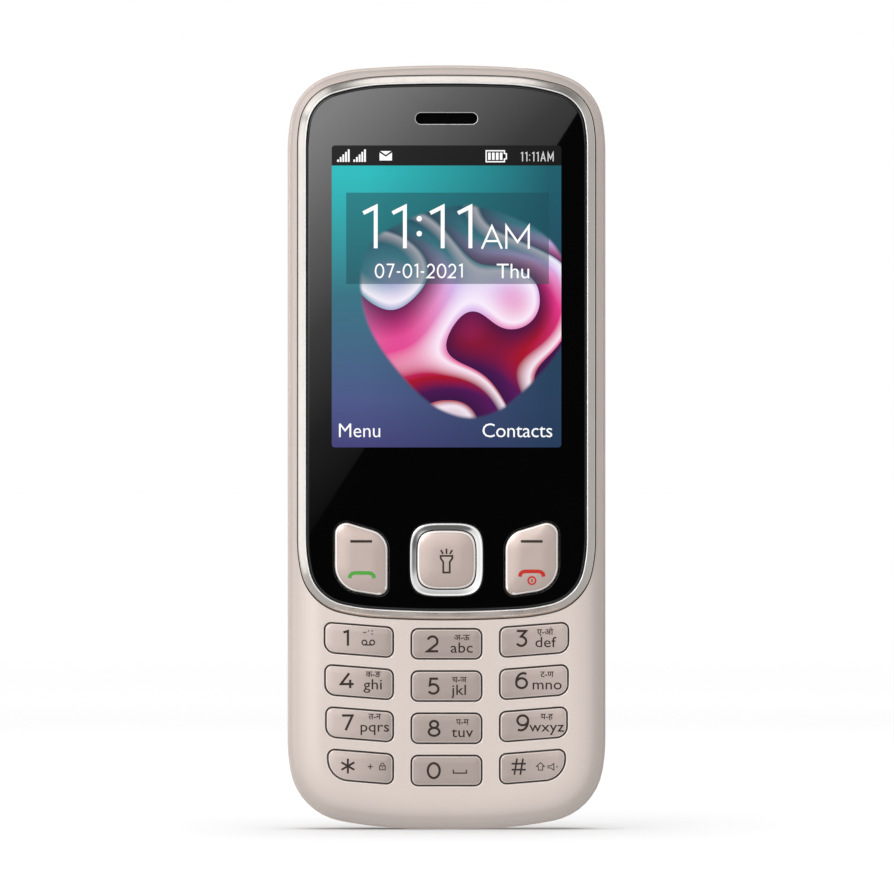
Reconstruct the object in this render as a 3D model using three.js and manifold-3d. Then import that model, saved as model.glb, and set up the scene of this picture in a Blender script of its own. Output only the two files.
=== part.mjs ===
// A candy-bar feature phone with a raised display window, function keys, a four-way pad and a twelve-key keypad.
// Frame, in millimetres: it stands on its lower end at Z = 0, +Z runs up to the earpiece end, +X is to the right as
// seen from the front, and the front faces -Y. The origin is at the centre of the footprint of its bounding box.
import * as THREE from "three";
import { mergeVertices } from "three/addons/utils/BufferGeometryUtils.js";
import Module from "manifold-3d";

const wasm = await Module();
wasm.setup();

// ---------------------------------------------------------------------------------------------------------------
// Driving dimensions
// ---------------------------------------------------------------------------------------------------------------
const WIDTH = 51.2;
const HEIGHT = 123;
const THICKNESS = 14;
const FRONT = -THICKNESS / 2;
const REAR = THICKNESS / 2;

const GAP = 0.25; // clearance between shells
const TRAVEL_ROOM = 0.4; // free space behind a key, a little over its travel
const SHELL_WALL = 1.2;
const PARTING_STEP = 0.45; // the front housing is this much smaller than the cover all round
const CHORD_ERROR = 0.06; // how far a facet may lie from its true arc

// Depths of the layers along Y, from front to rear.
const FACE = FRONT + 1.5; // keypad face of the front housing
const FACE_BACK = FACE + SHELL_WALL;
const LIP = FRONT + 0.5; // inner edge of the bezel ring
const RING_EDGE = FRONT + 1.7; // outer edge of the bezel ring's slope
const WINDOW_FRONT = FRONT + 0.6;
const WINDOW_BACK = WINDOW_FRONT + 1.2;
const WEB_FRONT = FRONT + 3.2; // floor of the pocket that the ring and window sit in
const WEB_BACK = WEB_FRONT + 0.9;
const MAT_FRONT = FRONT + 4.25;
const MAT_BACK = MAT_FRONT + 0.6;
const BOARD_FRONT = FRONT + 5.5;
const BOARD_BACK = BOARD_FRONT + 1;
const PARTING = FRONT + 6; // where the cover meets the front housing
const BAY_FLOOR = 1.5;
const CHASSIS_REAR = 5.4;
const COVER_INSIDE = REAR - SHELL_WALL;

// ---------------------------------------------------------------------------------------------------------------
// Outlines: two quarter chains of tangent arcs, [radius, turn in degrees], from the crown to the straight side
// ---------------------------------------------------------------------------------------------------------------
const BODY = {
  halfWidth: WIDTH / 2,
  top: HEIGHT,
  bottom: 0,
  foot: 4, // half length of the flat that the phone stands on
  upper: { crownTurn: 4.5, arcs: [[19.3, 19], [9, 56.5], [31, 10]] },
  lower: { crownTurn: 11.2, arcs: [[10, 68.7], [30, 10.1]] },
};
const WINDOW = {
  halfWidth: 22.53,
  top: 119.86,
  bottom: 35.15,
  foot: 0,
  upper: { crownTurn: 2.1, arcs: [[34, 14.2], [6.1, 63.2], [21, 10.5]] },
  lower: { crownTurn: 3.5, arcs: [[30.6, 10.3], [7, 63.6], [23.8, 12.6]] },
};
const RING_WIDTH = 1.38;

const radians = THREE.MathUtils.degToRad;

// The facets that an arc needs to stay within CHORD_ERROR of its true shape.
function facets(radius, turn) {
  const step = 2 * Math.acos(1 - CHORD_ERROR / Math.max(radius, 0.4));
  return Math.max(1, Math.ceil(turn / step));
}

// One quarter of an outline as offsets from its crown, outwards and downwards. The crown's own radius follows from
// the half width, so that every inset of an outline stays parallel to it.
function quarter(halfWidth, foot, corner, inset) {
  let heading = radians(corner.crownTurn);
  let across = foot;
  const arcs = corner.arcs.map(([radius, turn]) => {
    const from = heading;
    heading += radians(turn);
    across += (radius - inset) * (Math.sin(heading) - Math.sin(from));
    return { radius: radius - inset, from, turn: radians(turn) };
  });
  const crownTurn = radians(corner.crownTurn);
  const crownRadius = (halfWidth - inset - across) / Math.sin(crownTurn);
  arcs.unshift({ radius: crownRadius, from: 0, turn: crownTurn });
  const points = [[foot, 0]];
  let [x, drop] = points[0];
  for (const { radius, from, turn } of arcs) {
    const centre = [x - radius * Math.sin(from), drop + radius * Math.cos(from)];
    const count = facets(radius, turn);
    for (let i = 1; i <= count; i++) {
      const at = from + (turn * i) / count;
      x = centre[0] + radius * Math.sin(at);
      drop = centre[1] - radius * Math.cos(at);
      points.push([x, drop]);
    }
  }
  return points;
}

// A symmetric outline, moved inwards by inset, as a closed THREE.Shape with X across and Y up the phone.
function outline(form, inset = 0) {
  const top = form.top - inset;
  const bottom = form.bottom + inset;
  const upper = quarter(form.halfWidth, 0, form.upper, inset);
  const lower = quarter(form.halfWidth, form.foot, form.lower, inset);
  const right = [...upper.map(([x, drop]) => [x, top - drop]), ...lower.reverse().map(([x, rise]) => [x, bottom + rise])];
  const left = right.map(([x, z]) => [-x, z]).reverse();
  const points = [...right, ...left].filter(([x, z], i, all) => {
    const [px, pz] = all[(i + all.length - 1) % all.length];
    return Math.hypot(x - px, z - pz) > 1e-6;
  });
  return new THREE.Shape(points.map(([x, z]) => new THREE.Vector2(x, z)));
}

// ---------------------------------------------------------------------------------------------------------------
// Shapes with rounded corners
// ---------------------------------------------------------------------------------------------------------------

// Corners [x, z, radius], clockwise, of a convex shape moved outwards by grow, which widens each radius too.
function grown(corners, grow) {
  const sides = corners.map(([x, z], i) => {
    const [nx, nz] = corners[(i + 1) % corners.length];
    const length = Math.hypot(nx - x, nz - z);
    const along = [(nx - x) / length, (nz - z) / length];
    return { from: [x - along[1] * grow, z + along[0] * grow], along };
  });
  return corners.map(([, , radius], i) => {
    const a = sides[(i + sides.length - 1) % sides.length];
    const b = sides[i];
    const cross = a.along[0] * b.along[1] - a.along[1] * b.along[0];
    const gap = [b.from[0] - a.from[0], b.from[1] - a.from[1]];
    const t = (gap[0] * b.along[1] - gap[1] * b.along[0]) / cross;
    return [a.from[0] + a.along[0] * t, a.from[1] + a.along[1] * t, Math.max(0.05, radius + grow)];
  });
}

// A closed shape whose corners [x, z, radius], clockwise, are each rounded by an arc tangent to both sides.
function rounded(corners) {
  const points = [];
  corners.forEach(([x, z, radius], i) => {
    const [px, pz] = corners[(i + corners.length - 1) % corners.length];
    const [nx, nz] = corners[(i + 1) % corners.length];
    const back = Math.atan2(pz - z, px - x);
    const ahead = Math.atan2(nz - z, nx - x);
    const opening = Math.abs(Math.atan2(Math.sin(ahead - back), Math.cos(ahead - back)));
    const reach = radius / Math.tan(opening / 2);
    const bisector = Math.atan2(Math.sin(back) + Math.sin(ahead), Math.cos(back) + Math.cos(ahead));
    const far = Math.hypot(radius, reach);
    const centre = [x + far * Math.cos(bisector), z + far * Math.sin(bisector)];
    const start = Math.atan2(z + reach * Math.sin(back) - centre[1], x + reach * Math.cos(back) - centre[0]);
    const turn = Math.PI - opening;
    const count = facets(radius, turn);
    for (let k = 0; k <= count; k++) {
      const at = start - (turn * k) / count;
      points.push(new THREE.Vector2(centre[0] + radius * Math.cos(at), centre[1] + radius * Math.sin(at)));
    }
  });
  return new THREE.Shape(points);
}

// The corners of a rectangle about a centre, clockwise from its upper left.
function rectangle(x, z, width, height, radius = 0.3) {
  const [w, h] = [width / 2, height / 2];
  return [[x - w, z + h, radius], [x + w, z + h, radius], [x + w, z - h, radius], [x - w, z - h, radius]];
}

// A square with bowed sides, |x|^n + |z|^n = half^n, about a centre.
const SQUIRCLE_POWER = 4;
function squircle(x, z, half, count = 28) {
  const points = [];
  for (let i = 0; i < count; i++) {
    const at = (-2 * Math.PI * i) / count;
    const [c, s] = [Math.cos(at), Math.sin(at)];
    const reach = half / (Math.abs(c) ** SQUIRCLE_POWER + Math.abs(s) ** SQUIRCLE_POWER) ** (1 / SQUIRCLE_POWER);
    points.push(new THREE.Vector2(x + reach * c, z + reach * s));
  }
  return new THREE.Shape(points);
}

function disc(x, z, radius, count = 20) {
  const points = [];
  for (let i = 0; i < count; i++) {
    const at = (-2 * Math.PI * (i + 0.5)) / count;
    points.push(new THREE.Vector2(x + radius * Math.cos(at), z + radius * Math.sin(at)));
  }
  return new THREE.Shape(points);
}

// ---------------------------------------------------------------------------------------------------------------
// Solids
// ---------------------------------------------------------------------------------------------------------------
function solid(geometry) {
  const bare = geometry.index ? geometry.toNonIndexed() : geometry.clone();
  bare.deleteAttribute("normal");
  bare.deleteAttribute("uv");
  const merged = mergeVertices(bare, 1e-4);
  return new wasm.Manifold(
    new wasm.Mesh({
      numProp: 3,
      vertProperties: merged.attributes.position.array,
      triVerts: new Uint32Array(merged.index.array),
    }),
  );
}

// A flat piece of one shape between two depths. An edge { inset, depth, steps } rounds it at both faces.
function plate(shape, front, back, edge = null) {
  const depth = edge ? edge.depth : 0;
  const geometry = new THREE.ExtrudeGeometry(shape, {
    depth: back - front - 2 * depth,
    bevelEnabled: Boolean(edge),
    bevelThickness: depth,
    bevelSize: edge ? edge.inset : 0,
    bevelOffset: edge ? -edge.inset : 0,
    bevelSegments: edge ? edge.steps : 0,
  });
  geometry.rotateX(Math.PI / 2);
  geometry.translate(0, back - depth, 0);
  return solid(geometry);
}

// A box between two corners.
function block(x, y, z) {
  const geometry = new THREE.BoxGeometry(x[1] - x[0], y[1] - y[0], z[1] - z[0]);
  geometry.translate((x[0] + x[1]) / 2, (y[0] + y[1]) / 2, (z[0] + z[1]) / 2);
  return solid(geometry);
}

// A round bar along an axis ("x", "y" or "z"), from low to high on that axis, through a point.
function bar(axis, [px, py, pz], low, high, radius, count = 14) {
  const geometry = new THREE.CylinderGeometry(radius, radius, high - low, count);
  if (axis === "x") geometry.rotateZ(-Math.PI / 2);
  if (axis === "z") geometry.rotateX(Math.PI / 2);
  const middle = (low + high) / 2;
  geometry.translate(axis === "x" ? middle : px, axis === "y" ? middle : py, axis === "z" ? middle : pz);
  return solid(geometry);
}

const join = (first, ...others) => others.reduce((whole, other) => whole.add(other), first);
const cut = (first, ...others) => others.reduce((whole, other) => whole.subtract(other), first);

// ---------------------------------------------------------------------------------------------------------------
// Materials
// ---------------------------------------------------------------------------------------------------------------
function material(color, roughness, metalness = 0) {
  return new THREE.MeshStandardMaterial({ color, roughness, metalness });
}
const MATERIALS = {
  rosePaint: material("#dccdc3", 0.35, 0.25),
  keyPaint: material("#b9a59c", 0.35, 0.3),
  trim: material("#e6dcd2", 0.2, 0.7),
  chrome: material("#f2f2f0", 0.08, 1),
  window: material("#050506", 0.05),
  display: material("#2f6f86", 0.15),
  steel: material("#a9abad", 0.35, 0.9),
  gold: material("#c8a251", 0.3, 1),
  board: material("#12402c", 0.5),
  silicone: material("#d8d4cc", 0.7),
  blackPlastic: material("#1b1b1d", 0.6),
  clear: material("#dfe6ea", 0.05),
  batteryWrap: material("#2a2c30", 0.45),
};

const phone = new THREE.Group();

function add(name, made, finish) {
  const { vertProperties, triVerts } = made.getMesh();
  const geometry = new THREE.BufferGeometry()
    .setAttribute("position", new THREE.BufferAttribute(new Float32Array(vertProperties), 3))
    .setIndex(new THREE.BufferAttribute(new Uint32Array(triVerts), 1));
  const mesh = new THREE.Mesh(geometry, MATERIALS[finish]);
  mesh.name = name;
  phone.add(mesh);
}

// ---------------------------------------------------------------------------------------------------------------
// Keys: where they are and what shape their openings have
// ---------------------------------------------------------------------------------------------------------------
const KEY_ROWS = 4;
const KEY_PITCH = 6.79;
const LOWEST_ROW = 9.5; // height of the middle key of the lowest row
const KEY_HEIGHT = 5.06;
const MIDDLE_KEY_WIDTH = 11.54;
const SIDE_KEY_INNER = 8.45; // |x| of a side key's inner edge
const SIDE_KEY_OUTER = [19.72, 19.65, 19.5, 19.2]; // |x| of its outer edge, row by row from the top
const SIDE_KEY_RISE = 0.63; // a side key sits this much higher than its neighbour
const SIDE_KEY_SLANT = 0.87; // its outer end is this much higher than its inner end
const KEY_CORNER = 1.2;
const OUTER_LOWER_CORNER = [1.9, 1.9, 1.9, 3.6]; // row by row from the top
const KEY_GAP = 0.28; // the dark line round each key
const KEY_PROUD = 0.3;
const KEY_LIP = 0.35; // the flange reaches this far under the face
const KEY_NAMES = [
  ["key_1", "key_2", "key_3"],
  ["key_4", "key_5", "key_6"],
  ["key_7", "key_8", "key_9"],
  ["key_star", "key_0", "key_hash"],
];

const mirrored = (corners) => corners.map(([x, z, radius]) => [-x, z, radius]).reverse();

// The opening of a key in column 0, 1 or 2 of a row counted from the top.
function keyOpening(row, column) {
  const z = LOWEST_ROW + (KEY_ROWS - 1 - row) * KEY_PITCH;
  if (column === 1) return rectangle(0, z, MIDDLE_KEY_WIDTH, KEY_HEIGHT, KEY_CORNER);
  const [outer, inner] = [-SIDE_KEY_OUTER[row], -SIDE_KEY_INNER];
  const [high, low] = [z + SIDE_KEY_RISE + SIDE_KEY_SLANT / 2, z + SIDE_KEY_RISE - SIDE_KEY_SLANT / 2];
  const half = KEY_HEIGHT / 2;
  const corners = [
    [outer, high + half, KEY_CORNER],
    [inner, low + half, KEY_CORNER],
    [inner, low - half, KEY_CORNER],
    [outer, high - half, OUTER_LOWER_CORNER[row]],
  ];
  return column === 0 ? corners : mirrored(corners);
}

const keypad = KEY_NAMES.flatMap((names, row) =>
  names.map((name, column) => {
    const opening = keyOpening(row, column);
    const x = opening.reduce((sum, [px]) => sum + px, 0) / opening.length;
    const z = opening.reduce((sum, [, pz]) => sum + pz, 0) / opening.length;
    return { name, opening, x, z };
  }),
);

const FUNCTION_KEY_X = 13.7;
const PAD_Z = 43.4; // height of the function keys' and the four-way pad's centres
const FUNCTION_KEY_CORNERS = [[-4.26, 6.46, 1.87], [4.26, 3.89, 3.4], [4.26, -6.12, 1.5], [-4.26, -4.8, 4.3]];
const leftFunctionKey = FUNCTION_KEY_CORNERS.map(([x, z, r]) => [x - FUNCTION_KEY_X, z + PAD_Z + 0.15, r]);
const rightFunctionKey = mirrored(leftFunctionKey);

const PAD_HALF = 5.88; // the four-way ring's half width
const CENTRE_HALF = 4.7; // the centre key's half width
const PAD_CLEARANCE = 0.2;

// ---------------------------------------------------------------------------------------------------------------
// Shells
// ---------------------------------------------------------------------------------------------------------------
const SCREWS = [
  { name: "screw_upper_left", x: -18.3, z: 114.8 },
  { name: "screw_upper_right", x: 18.3, z: 114.8 },
  { name: "screw_lower_left", x: -21.7, z: 18 },
  { name: "screw_lower_right", x: 21.7, z: 18 },
];
const SCREW_SHANK = 0.6;
const SCREW_HEAD = 1.15;
const SCREW_HEAD_FRONT = 2.2;
const BOSS_RADIUS = 1.5;

const DISPLAY = { x: 0, z: 85.7, width: 36.9, height: 48.5 };
const MODULE = { width: 42.4, bottom: 52.7, top: 112.5 };
const MODULE_CENTRE = (MODULE.bottom + MODULE.top) / 2;
const EARPIECE = { z: 114.3, width: 9.9, height: 1.75 };
const RECEIVER = { z: 116.2, width: 12, height: 5.2 };

const FACE_EDGE = { inset: 5.2, depth: 2.6, steps: 3 };
function frontHousing() {
  const past = 6; // how far the raw forms run past the parting plane, where they are cut off
  const outer = plate(outline(BODY, PARTING_STEP), FACE, past, FACE_EDGE);
  const inset = PARTING_STEP + SHELL_WALL;
  const keypadZone = plate(outline(BODY, inset), FACE_BACK, past, { inset: 3.5, depth: 1.9, steps: 3 });
  const belowWindow = block([-WIDTH, WIDTH], [FACE - 1, past], [0, WINDOW.bottom - 0.95]);
  const behindWeb = plate(outline(BODY, inset), WEB_BACK, past);
  const pocket = plate(outline(WINDOW, -RING_WIDTH - 0.15), FRONT - 1, WEB_FRONT);
  const pocketWall = plate(outline(WINDOW, -RING_WIDTH - 0.75), FRONT - 1, past);
  const bosses = SCREWS.map(({ x, z }) => {
    const start = z > WINDOW.bottom ? WEB_FRONT + 0.3 : FACE_BACK - 0.4;
    return cut(
      bar("y", [x, 0, z], start, BOARD_FRONT - 0.1, BOSS_RADIUS, 10),
      bar("y", [x, 0, z], start + 0.8, BOARD_FRONT + 1, SCREW_SHANK + 0.15, 8),
    );
  });
  const openings = [
    ...keypad.map(({ opening }) => plate(rounded(opening), FACE - 1, past)),
    plate(rounded(rectangle(0, MODULE_CENTRE, MODULE.width + 0.5, MODULE.top - MODULE.bottom + 0.5, 0.8)), -6, past),
    plate(rounded(rectangle(0, RECEIVER.z, RECEIVER.width + 0.5, RECEIVER.height + 0.5, 0.8)), -6, past),
    ...[leftFunctionKey, rightFunctionKey].map((key) => plate(rounded(grown(key, -0.7)), -6, past)),
    plate(squircle(0, PAD_Z, PAD_HALF), -6, past),
  ];
  const shell = cut(outer, keypadZone.intersect(belowWindow).subtract(pocketWall), behindWeb, pocket);
  const whole = cut(join(shell, ...bosses), ...openings);
  return cut(whole, block([-WIDTH, WIDTH], [PARTING - 0.1, past + 1], [-1, HEIGHT + 1]));
}

// The raised frame round the window: a sloping face, an upright outer wall and a ledge that carries the window.
function bezelRing() {
  const slope = { inset: RING_WIDTH - 0.28, depth: RING_EDGE - LIP, steps: 1 };
  const outer = plate(outline(WINDOW, -RING_WIDTH), LIP, 4, slope);
  const trimmed = cut(outer, block([-WIDTH, WIDTH], [WEB_FRONT - 0.1, 5], [0, HEIGHT + 1]));
  const seat = plate(outline(WINDOW, -0.02), FRONT - 1, WINDOW_BACK + 0.05);
  const through = plate(outline(WINDOW, 0.95), FRONT - 1, 5);
  return cut(trimmed, seat, through);
}

function windowLens() {
  const pane = plate(outline(WINDOW, 0.1), WINDOW_FRONT, WINDOW_BACK);
  const slot = rounded(rectangle(0, EARPIECE.z, EARPIECE.width, EARPIECE.height, 0.75));
  return cut(
    pane,
    plate(slot, FRONT - 1, 0),
    ...[leftFunctionKey, rightFunctionKey].map((key) => plate(rounded(grown(key, PAD_CLEARANCE)), FRONT - 1, 0)),
    plate(squircle(0, PAD_Z, PAD_HALF + PAD_CLEARANCE), FRONT - 1, 0),
  );
}

// The carrier behind the board: it holds the battery bay and every connector.
const BAY = { bottom: 20.8, top: 81.2, width: 42.6 };
const BAY_CENTRE = (BAY.bottom + BAY.top) / 2;
const CHASSIS_INSET = SHELL_WALL + GAP;
const USB = { x: -11, mouth: 2.7, width: 7.8, height: 2.8, depth: 5.5 };
const JACK = { x: 12, y: 1.8, bore: 1.8, barrel: 2.4, length: 13 };
const TORCH = { y: 1.6, radius: 2.1 };
const CAMERA = { x: 0, z: 101, barrel: 2.3, window: 3.6 };
const SPEAKER = { x: 13.5, z: 99, width: 15, height: 11 };
const MOTOR = { y: 2, z: 99, radius: 2, from: -20, to: -13 };
const MICROPHONE = { x: 12, z: 5.4 };
const SIM = { x: 10.4, z: 64, width: 17, height: 18 };
const CARD = { x: 0, z: 35, width: 14, height: 15 };
const CONTACTS = { width: 9.6, bottom: 81.6, top: 84.6, rear: 4.8 };

function rearChassis() {
  const start = PARTING + 0.05;
  const shape = outline(BODY, CHASSIS_INSET);
  const outer = cut(
    plate(shape, -8, CHASSIS_REAR, { inset: 3, depth: 2.7, steps: 3 }),
    block([-WIDTH, WIDTH], [-9, start], [-1, HEIGHT + 1]),
  );
  const inside = outline(BODY, CHASSIS_INSET + 1.3);
  const underFloor = plate(inside, start - 1, BAY_FLOOR - 0.6);
  const deep = plate(inside, start - 1, CHASSIS_REAR - 1, { inset: 2, depth: 1.6, steps: 2 });
  const upperRoom = deep.intersect(block([-WIDTH, WIDTH], [-3, 7], [BAY.top + 1.2, HEIGHT]));
  const lowerRoom = deep.intersect(block([-WIDTH, WIDTH], [-3, 7], [0, BAY.bottom - 1.2]));
  const bay = plate(rounded(rectangle(0, BAY_CENTRE, BAY.width, BAY.top - BAY.bottom, 1)), BAY_FLOOR, 7);
  const posts = SCREWS.map(({ x, z }) => bar("y", [x, 0, z], BOARD_BACK + 0.1, CHASSIS_REAR - 0.5, 2.1, 12));
  const shell = join(cut(outer, underFloor, upperRoom, lowerRoom, bay), ...posts.map((p) => p.intersect(outer)));
  const screwHoles = SCREWS.flatMap(({ x, z }) => [
    bar("y", [x, 0, z], -3, 7, SCREW_SHANK + 0.25, 8),
    bar("y", [x, 0, z], SCREW_HEAD_FRONT, 7, SCREW_HEAD + 0.25, 12),
  ]);
  const windows = [
    ...[-SIM.x, SIM.x].map((x) => plate(rounded(rectangle(x, SIM.z, SIM.width - 1.5, SIM.height - 1.5, 0.6)), 0.5, 3)),
    plate(rounded(rectangle(CARD.x, CARD.z, CARD.width - 1.5, CARD.height - 1.5, 0.6)), 0.5, 3),
    block([-CONTACTS.width / 2 - 0.3, CONTACTS.width / 2 + 0.3], [-3, 5], [BAY.top - 0.6, CONTACTS.top + 0.3]),
    block([USB.x - USB.width / 2 - 0.3, USB.x + USB.width / 2 + 0.3], [-3, BOARD_BACK + USB.height + 0.4], [1, 5]),
    bar("z", [JACK.x, JACK.y, 0], HEIGHT - 8, HEIGHT, JACK.barrel + 0.3, 18),
    bar("z", [0, TORCH.y, 0], HEIGHT - 8, HEIGHT, TORCH.radius + 0.25, 16),
    bar("y", [CAMERA.x, 0, CAMERA.z], 3, 7, CAMERA.barrel + 0.3, 18),
    plate(rounded(rectangle(SPEAKER.x, SPEAKER.z, 11, 7.4, 0.8)), 3, 7),
    bar("z", [MICROPHONE.x, 0.6, 0], 0, 4, 0.5, 8),
  ];
  return cut(shell, ...screwHoles, ...windows);
}

const SOUND_SLOTS = { count: 4, pitch: 1.9, width: 9.6, height: 0.9 };

function batteryCover() {
  const outer = cut(
    plate(outline(BODY), -10, REAR, { inset: 4.5, depth: 3.8, steps: 4 }),
    block([-WIDTH, WIDTH], [-11, PARTING], [-1, HEIGHT + 1]),
  );
  const hollow = plate(outline(BODY, SHELL_WALL), -10, COVER_INSIDE, { inset: 3.6, depth: 3, steps: 3 });
  const slots = Array.from({ length: SOUND_SLOTS.count }, (_, i) => {
    const z = SPEAKER.z + (i - (SOUND_SLOTS.count - 1) / 2) * SOUND_SLOTS.pitch;
    return plate(rounded(rectangle(SPEAKER.x, z, SOUND_SLOTS.width, SOUND_SLOTS.height, 0.4)), 5, 8);
  });
  const usb = rounded(rectangle(USB.x, BOARD_BACK + USB.height / 2 + 0.1, USB.width + 0.8, USB.height + 0.5, 1));
  const usbHole = new THREE.ExtrudeGeometry(usb, { depth: 4, bevelEnabled: false });
  usbHole.translate(0, 0, -1);
  return cut(
    outer,
    hollow,
    ...slots,
    solid(usbHole),
    bar("z", [JACK.x, JACK.y, 0], HEIGHT - 4, HEIGHT + 1, JACK.bore + 0.35, 20),
    bar("z", [0, TORCH.y, 0], HEIGHT - 4, HEIGHT + 1, TORCH.radius - 0.2, 16),
    bar("z", [MICROPHONE.x, 0.6, 0], -1, 3, 0.5, 8),
    bar("y", [CAMERA.x, 0, CAMERA.z], 5, 8, CAMERA.window - 0.8, 20),
    bar("y", [CAMERA.x, 0, CAMERA.z], REAR - 0.9, 8, CAMERA.window + 0.1, 24),
  );
}

// ---------------------------------------------------------------------------------------------------------------
// Keys
// ---------------------------------------------------------------------------------------------------------------
const KEY_EDGE = { inset: 0.35, depth: 0.25, steps: 2 };
const FLANGE_FRONT = FACE_BACK + 0.15;
const FLANGE_BACK = FLANGE_FRONT + 0.6;

function keypadKey(opening) {
  const cap = plate(rounded(grown(opening, -KEY_GAP)), FACE - KEY_PROUD, FLANGE_BACK - 0.05, KEY_EDGE);
  return join(cap, plate(rounded(grown(opening, KEY_LIP)), FLANGE_FRONT, FLANGE_BACK));
}

const PAD_FLANGE_FRONT = WINDOW_BACK + 0.35;
const PAD_FLANGE_BACK = PAD_FLANGE_FRONT + 0.6;
const STEM_BACK = MAT_FRONT - TRAVEL_ROOM - 0.05;

function functionKey(corners) {
  const edge = { inset: 0.5, depth: 0.3, steps: 2 };
  const cap = plate(rounded(corners), FRONT + 0.15, PAD_FLANGE_BACK - 0.05, edge);
  const flange = plate(rounded(grown(corners, 0.5)), PAD_FLANGE_FRONT, PAD_FLANGE_BACK);
  const stem = plate(rounded(grown(corners, -1.4)), PAD_FLANGE_FRONT + 0.1, STEM_BACK);
  return join(cap, flange, stem);
}

function fourWayRing() {
  const edge = { inset: 0.3, depth: 0.3, steps: 2 };
  const body = plate(squircle(0, PAD_Z, PAD_HALF), FRONT, PAD_FLANGE_FRONT - 0.25, edge);
  return cut(body, plate(squircle(0, PAD_Z, CENTRE_HALF + 0.15), FRONT - 1, 0));
}

function fourWayBase() {
  const flange = plate(squircle(0, PAD_Z, PAD_HALF + 0.6), PAD_FLANGE_FRONT, PAD_FLANGE_BACK);
  const skirt = plate(squircle(0, PAD_Z, PAD_HALF - 0.4), PAD_FLANGE_FRONT, STEM_BACK);
  return cut(join(flange, skirt), plate(squircle(0, PAD_Z, CENTRE_HALF + 0.2), FRONT - 1, 0));
}

function centreKey() {
  return join(
    plate(squircle(0, PAD_Z, CENTRE_HALF), FRONT + 0.1, PAD_FLANGE_BACK, { inset: 0.5, depth: 0.35, steps: 2 }),
    plate(squircle(0, PAD_Z, CENTRE_HALF - 1.2, 24), PAD_FLANGE_FRONT, STEM_BACK),
  );
}

// Where a finger's push lands on the mat: each keypad key, both ends of each function key, and the pad's five points.
const PAD_REACH = 4.6;
const pushes = [
  ...keypad.map(({ x, z }) => [x, z]),
  ...[-FUNCTION_KEY_X, FUNCTION_KEY_X].flatMap((x) => [[x, PAD_Z + 3.2], [x, PAD_Z - 3.2]]),
  [0, PAD_Z],
  ...[0, 90, 180, 270].map((turn) => {
    const at = radians(turn);
    return [PAD_REACH * Math.cos(at), PAD_Z + PAD_REACH * Math.sin(at)];
  }),
];
const MAT = { width: 40, bottom: 6.2, top: 50.6 };
const MAT_CENTRE = (MAT.bottom + MAT.top) / 2;

function keypadMat() {
  const sheet = plate(rounded(rectangle(0, MAT_CENTRE, MAT.width, MAT.top - MAT.bottom, 4)), MAT_FRONT, MAT_BACK);
  const nubs = pushes.map(([x, z]) => bar("y", [x, 0, z], MAT_BACK - 0.2, MAT_BACK + 0.15, 1.1, 6));
  return join(sheet, ...nubs);
}

function domeSheet() {
  const back = BOARD_FRONT - 0.1;
  const film = plate(rounded(rectangle(0, MAT_CENTRE, MAT.width - 1, MAT.top - MAT.bottom, 3)), back - 0.12, back);
  const domes = pushes.map(([x, z]) => {
    const dome = new THREE.CylinderGeometry(1.9, 1, 0.22, 8);
    dome.translate(x, back - 0.21, z);
    return solid(dome);
  });
  return join(film, ...domes);
}

// ---------------------------------------------------------------------------------------------------------------
// Front electronics
// ---------------------------------------------------------------------------------------------------------------
function displayFrame() {
  const height = MODULE.top - MODULE.bottom;
  const can = plate(rounded(rectangle(0, MODULE_CENTRE, MODULE.width, height, 0.6)), WINDOW_BACK + 0.3, -2.5);
  return cut(can, plate(rounded(rectangle(0, MODULE_CENTRE, MODULE.width - 1.2, height - 1.2, 0.4)), -8, -3.3));
}

function displayPanel() {
  const height = MODULE.top - MODULE.bottom;
  return plate(rounded(rectangle(0, MODULE_CENTRE, MODULE.width - 1.6, height - 1.6, 0.4)), WINDOW_BACK + 0.1, -3.4);
}

// A ribbon that leaves the display's back, folds once and lands on the board's front.
function displayFlex() {
  const [high, low, thin] = [-2.35, BOARD_FRONT - 0.1, 0.15];
  const [start, fold, end] = [62, 55, 60];
  const ribbon = new THREE.Shape();
  ribbon.moveTo(high, start);
  ribbon.lineTo(high, fold);
  ribbon.quadraticCurveTo(high, fold - 0.8, (high + low) / 2, fold - 0.8);
  ribbon.quadraticCurveTo(low, fold - 0.8, low, fold);
  ribbon.lineTo(low, end);
  ribbon.lineTo(low - thin, end);
  ribbon.lineTo(low - thin, fold);
  ribbon.quadraticCurveTo(low - thin, fold - 0.65, (high + low) / 2, fold - 0.65);
  ribbon.quadraticCurveTo(high + thin, fold - 0.65, high + thin, fold);
  ribbon.lineTo(high + thin, start);
  const width = 15;
  const geometry = new THREE.ExtrudeGeometry(ribbon, { depth: width, bevelEnabled: false, curveSegments: 3 });
  // The profile is drawn in the phone's Y and Z, and its width runs along X.
  geometry.applyMatrix4(new THREE.Matrix4().set(0, 0, 1, -width / 2, 1, 0, 0, 0, 0, 1, 0, 0, 0, 0, 0, 1));
  return solid(geometry);
}

function earpieceSpeaker() {
  const shape = rounded(rectangle(0, RECEIVER.z, RECEIVER.width, RECEIVER.height, 1.8));
  const rim = plate(shape, WINDOW_BACK + 0.35, -2.4);
  return cut(rim, plate(rounded(rectangle(0, RECEIVER.z, 9, 3, 1.4)), -8, -4.4));
}

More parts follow.
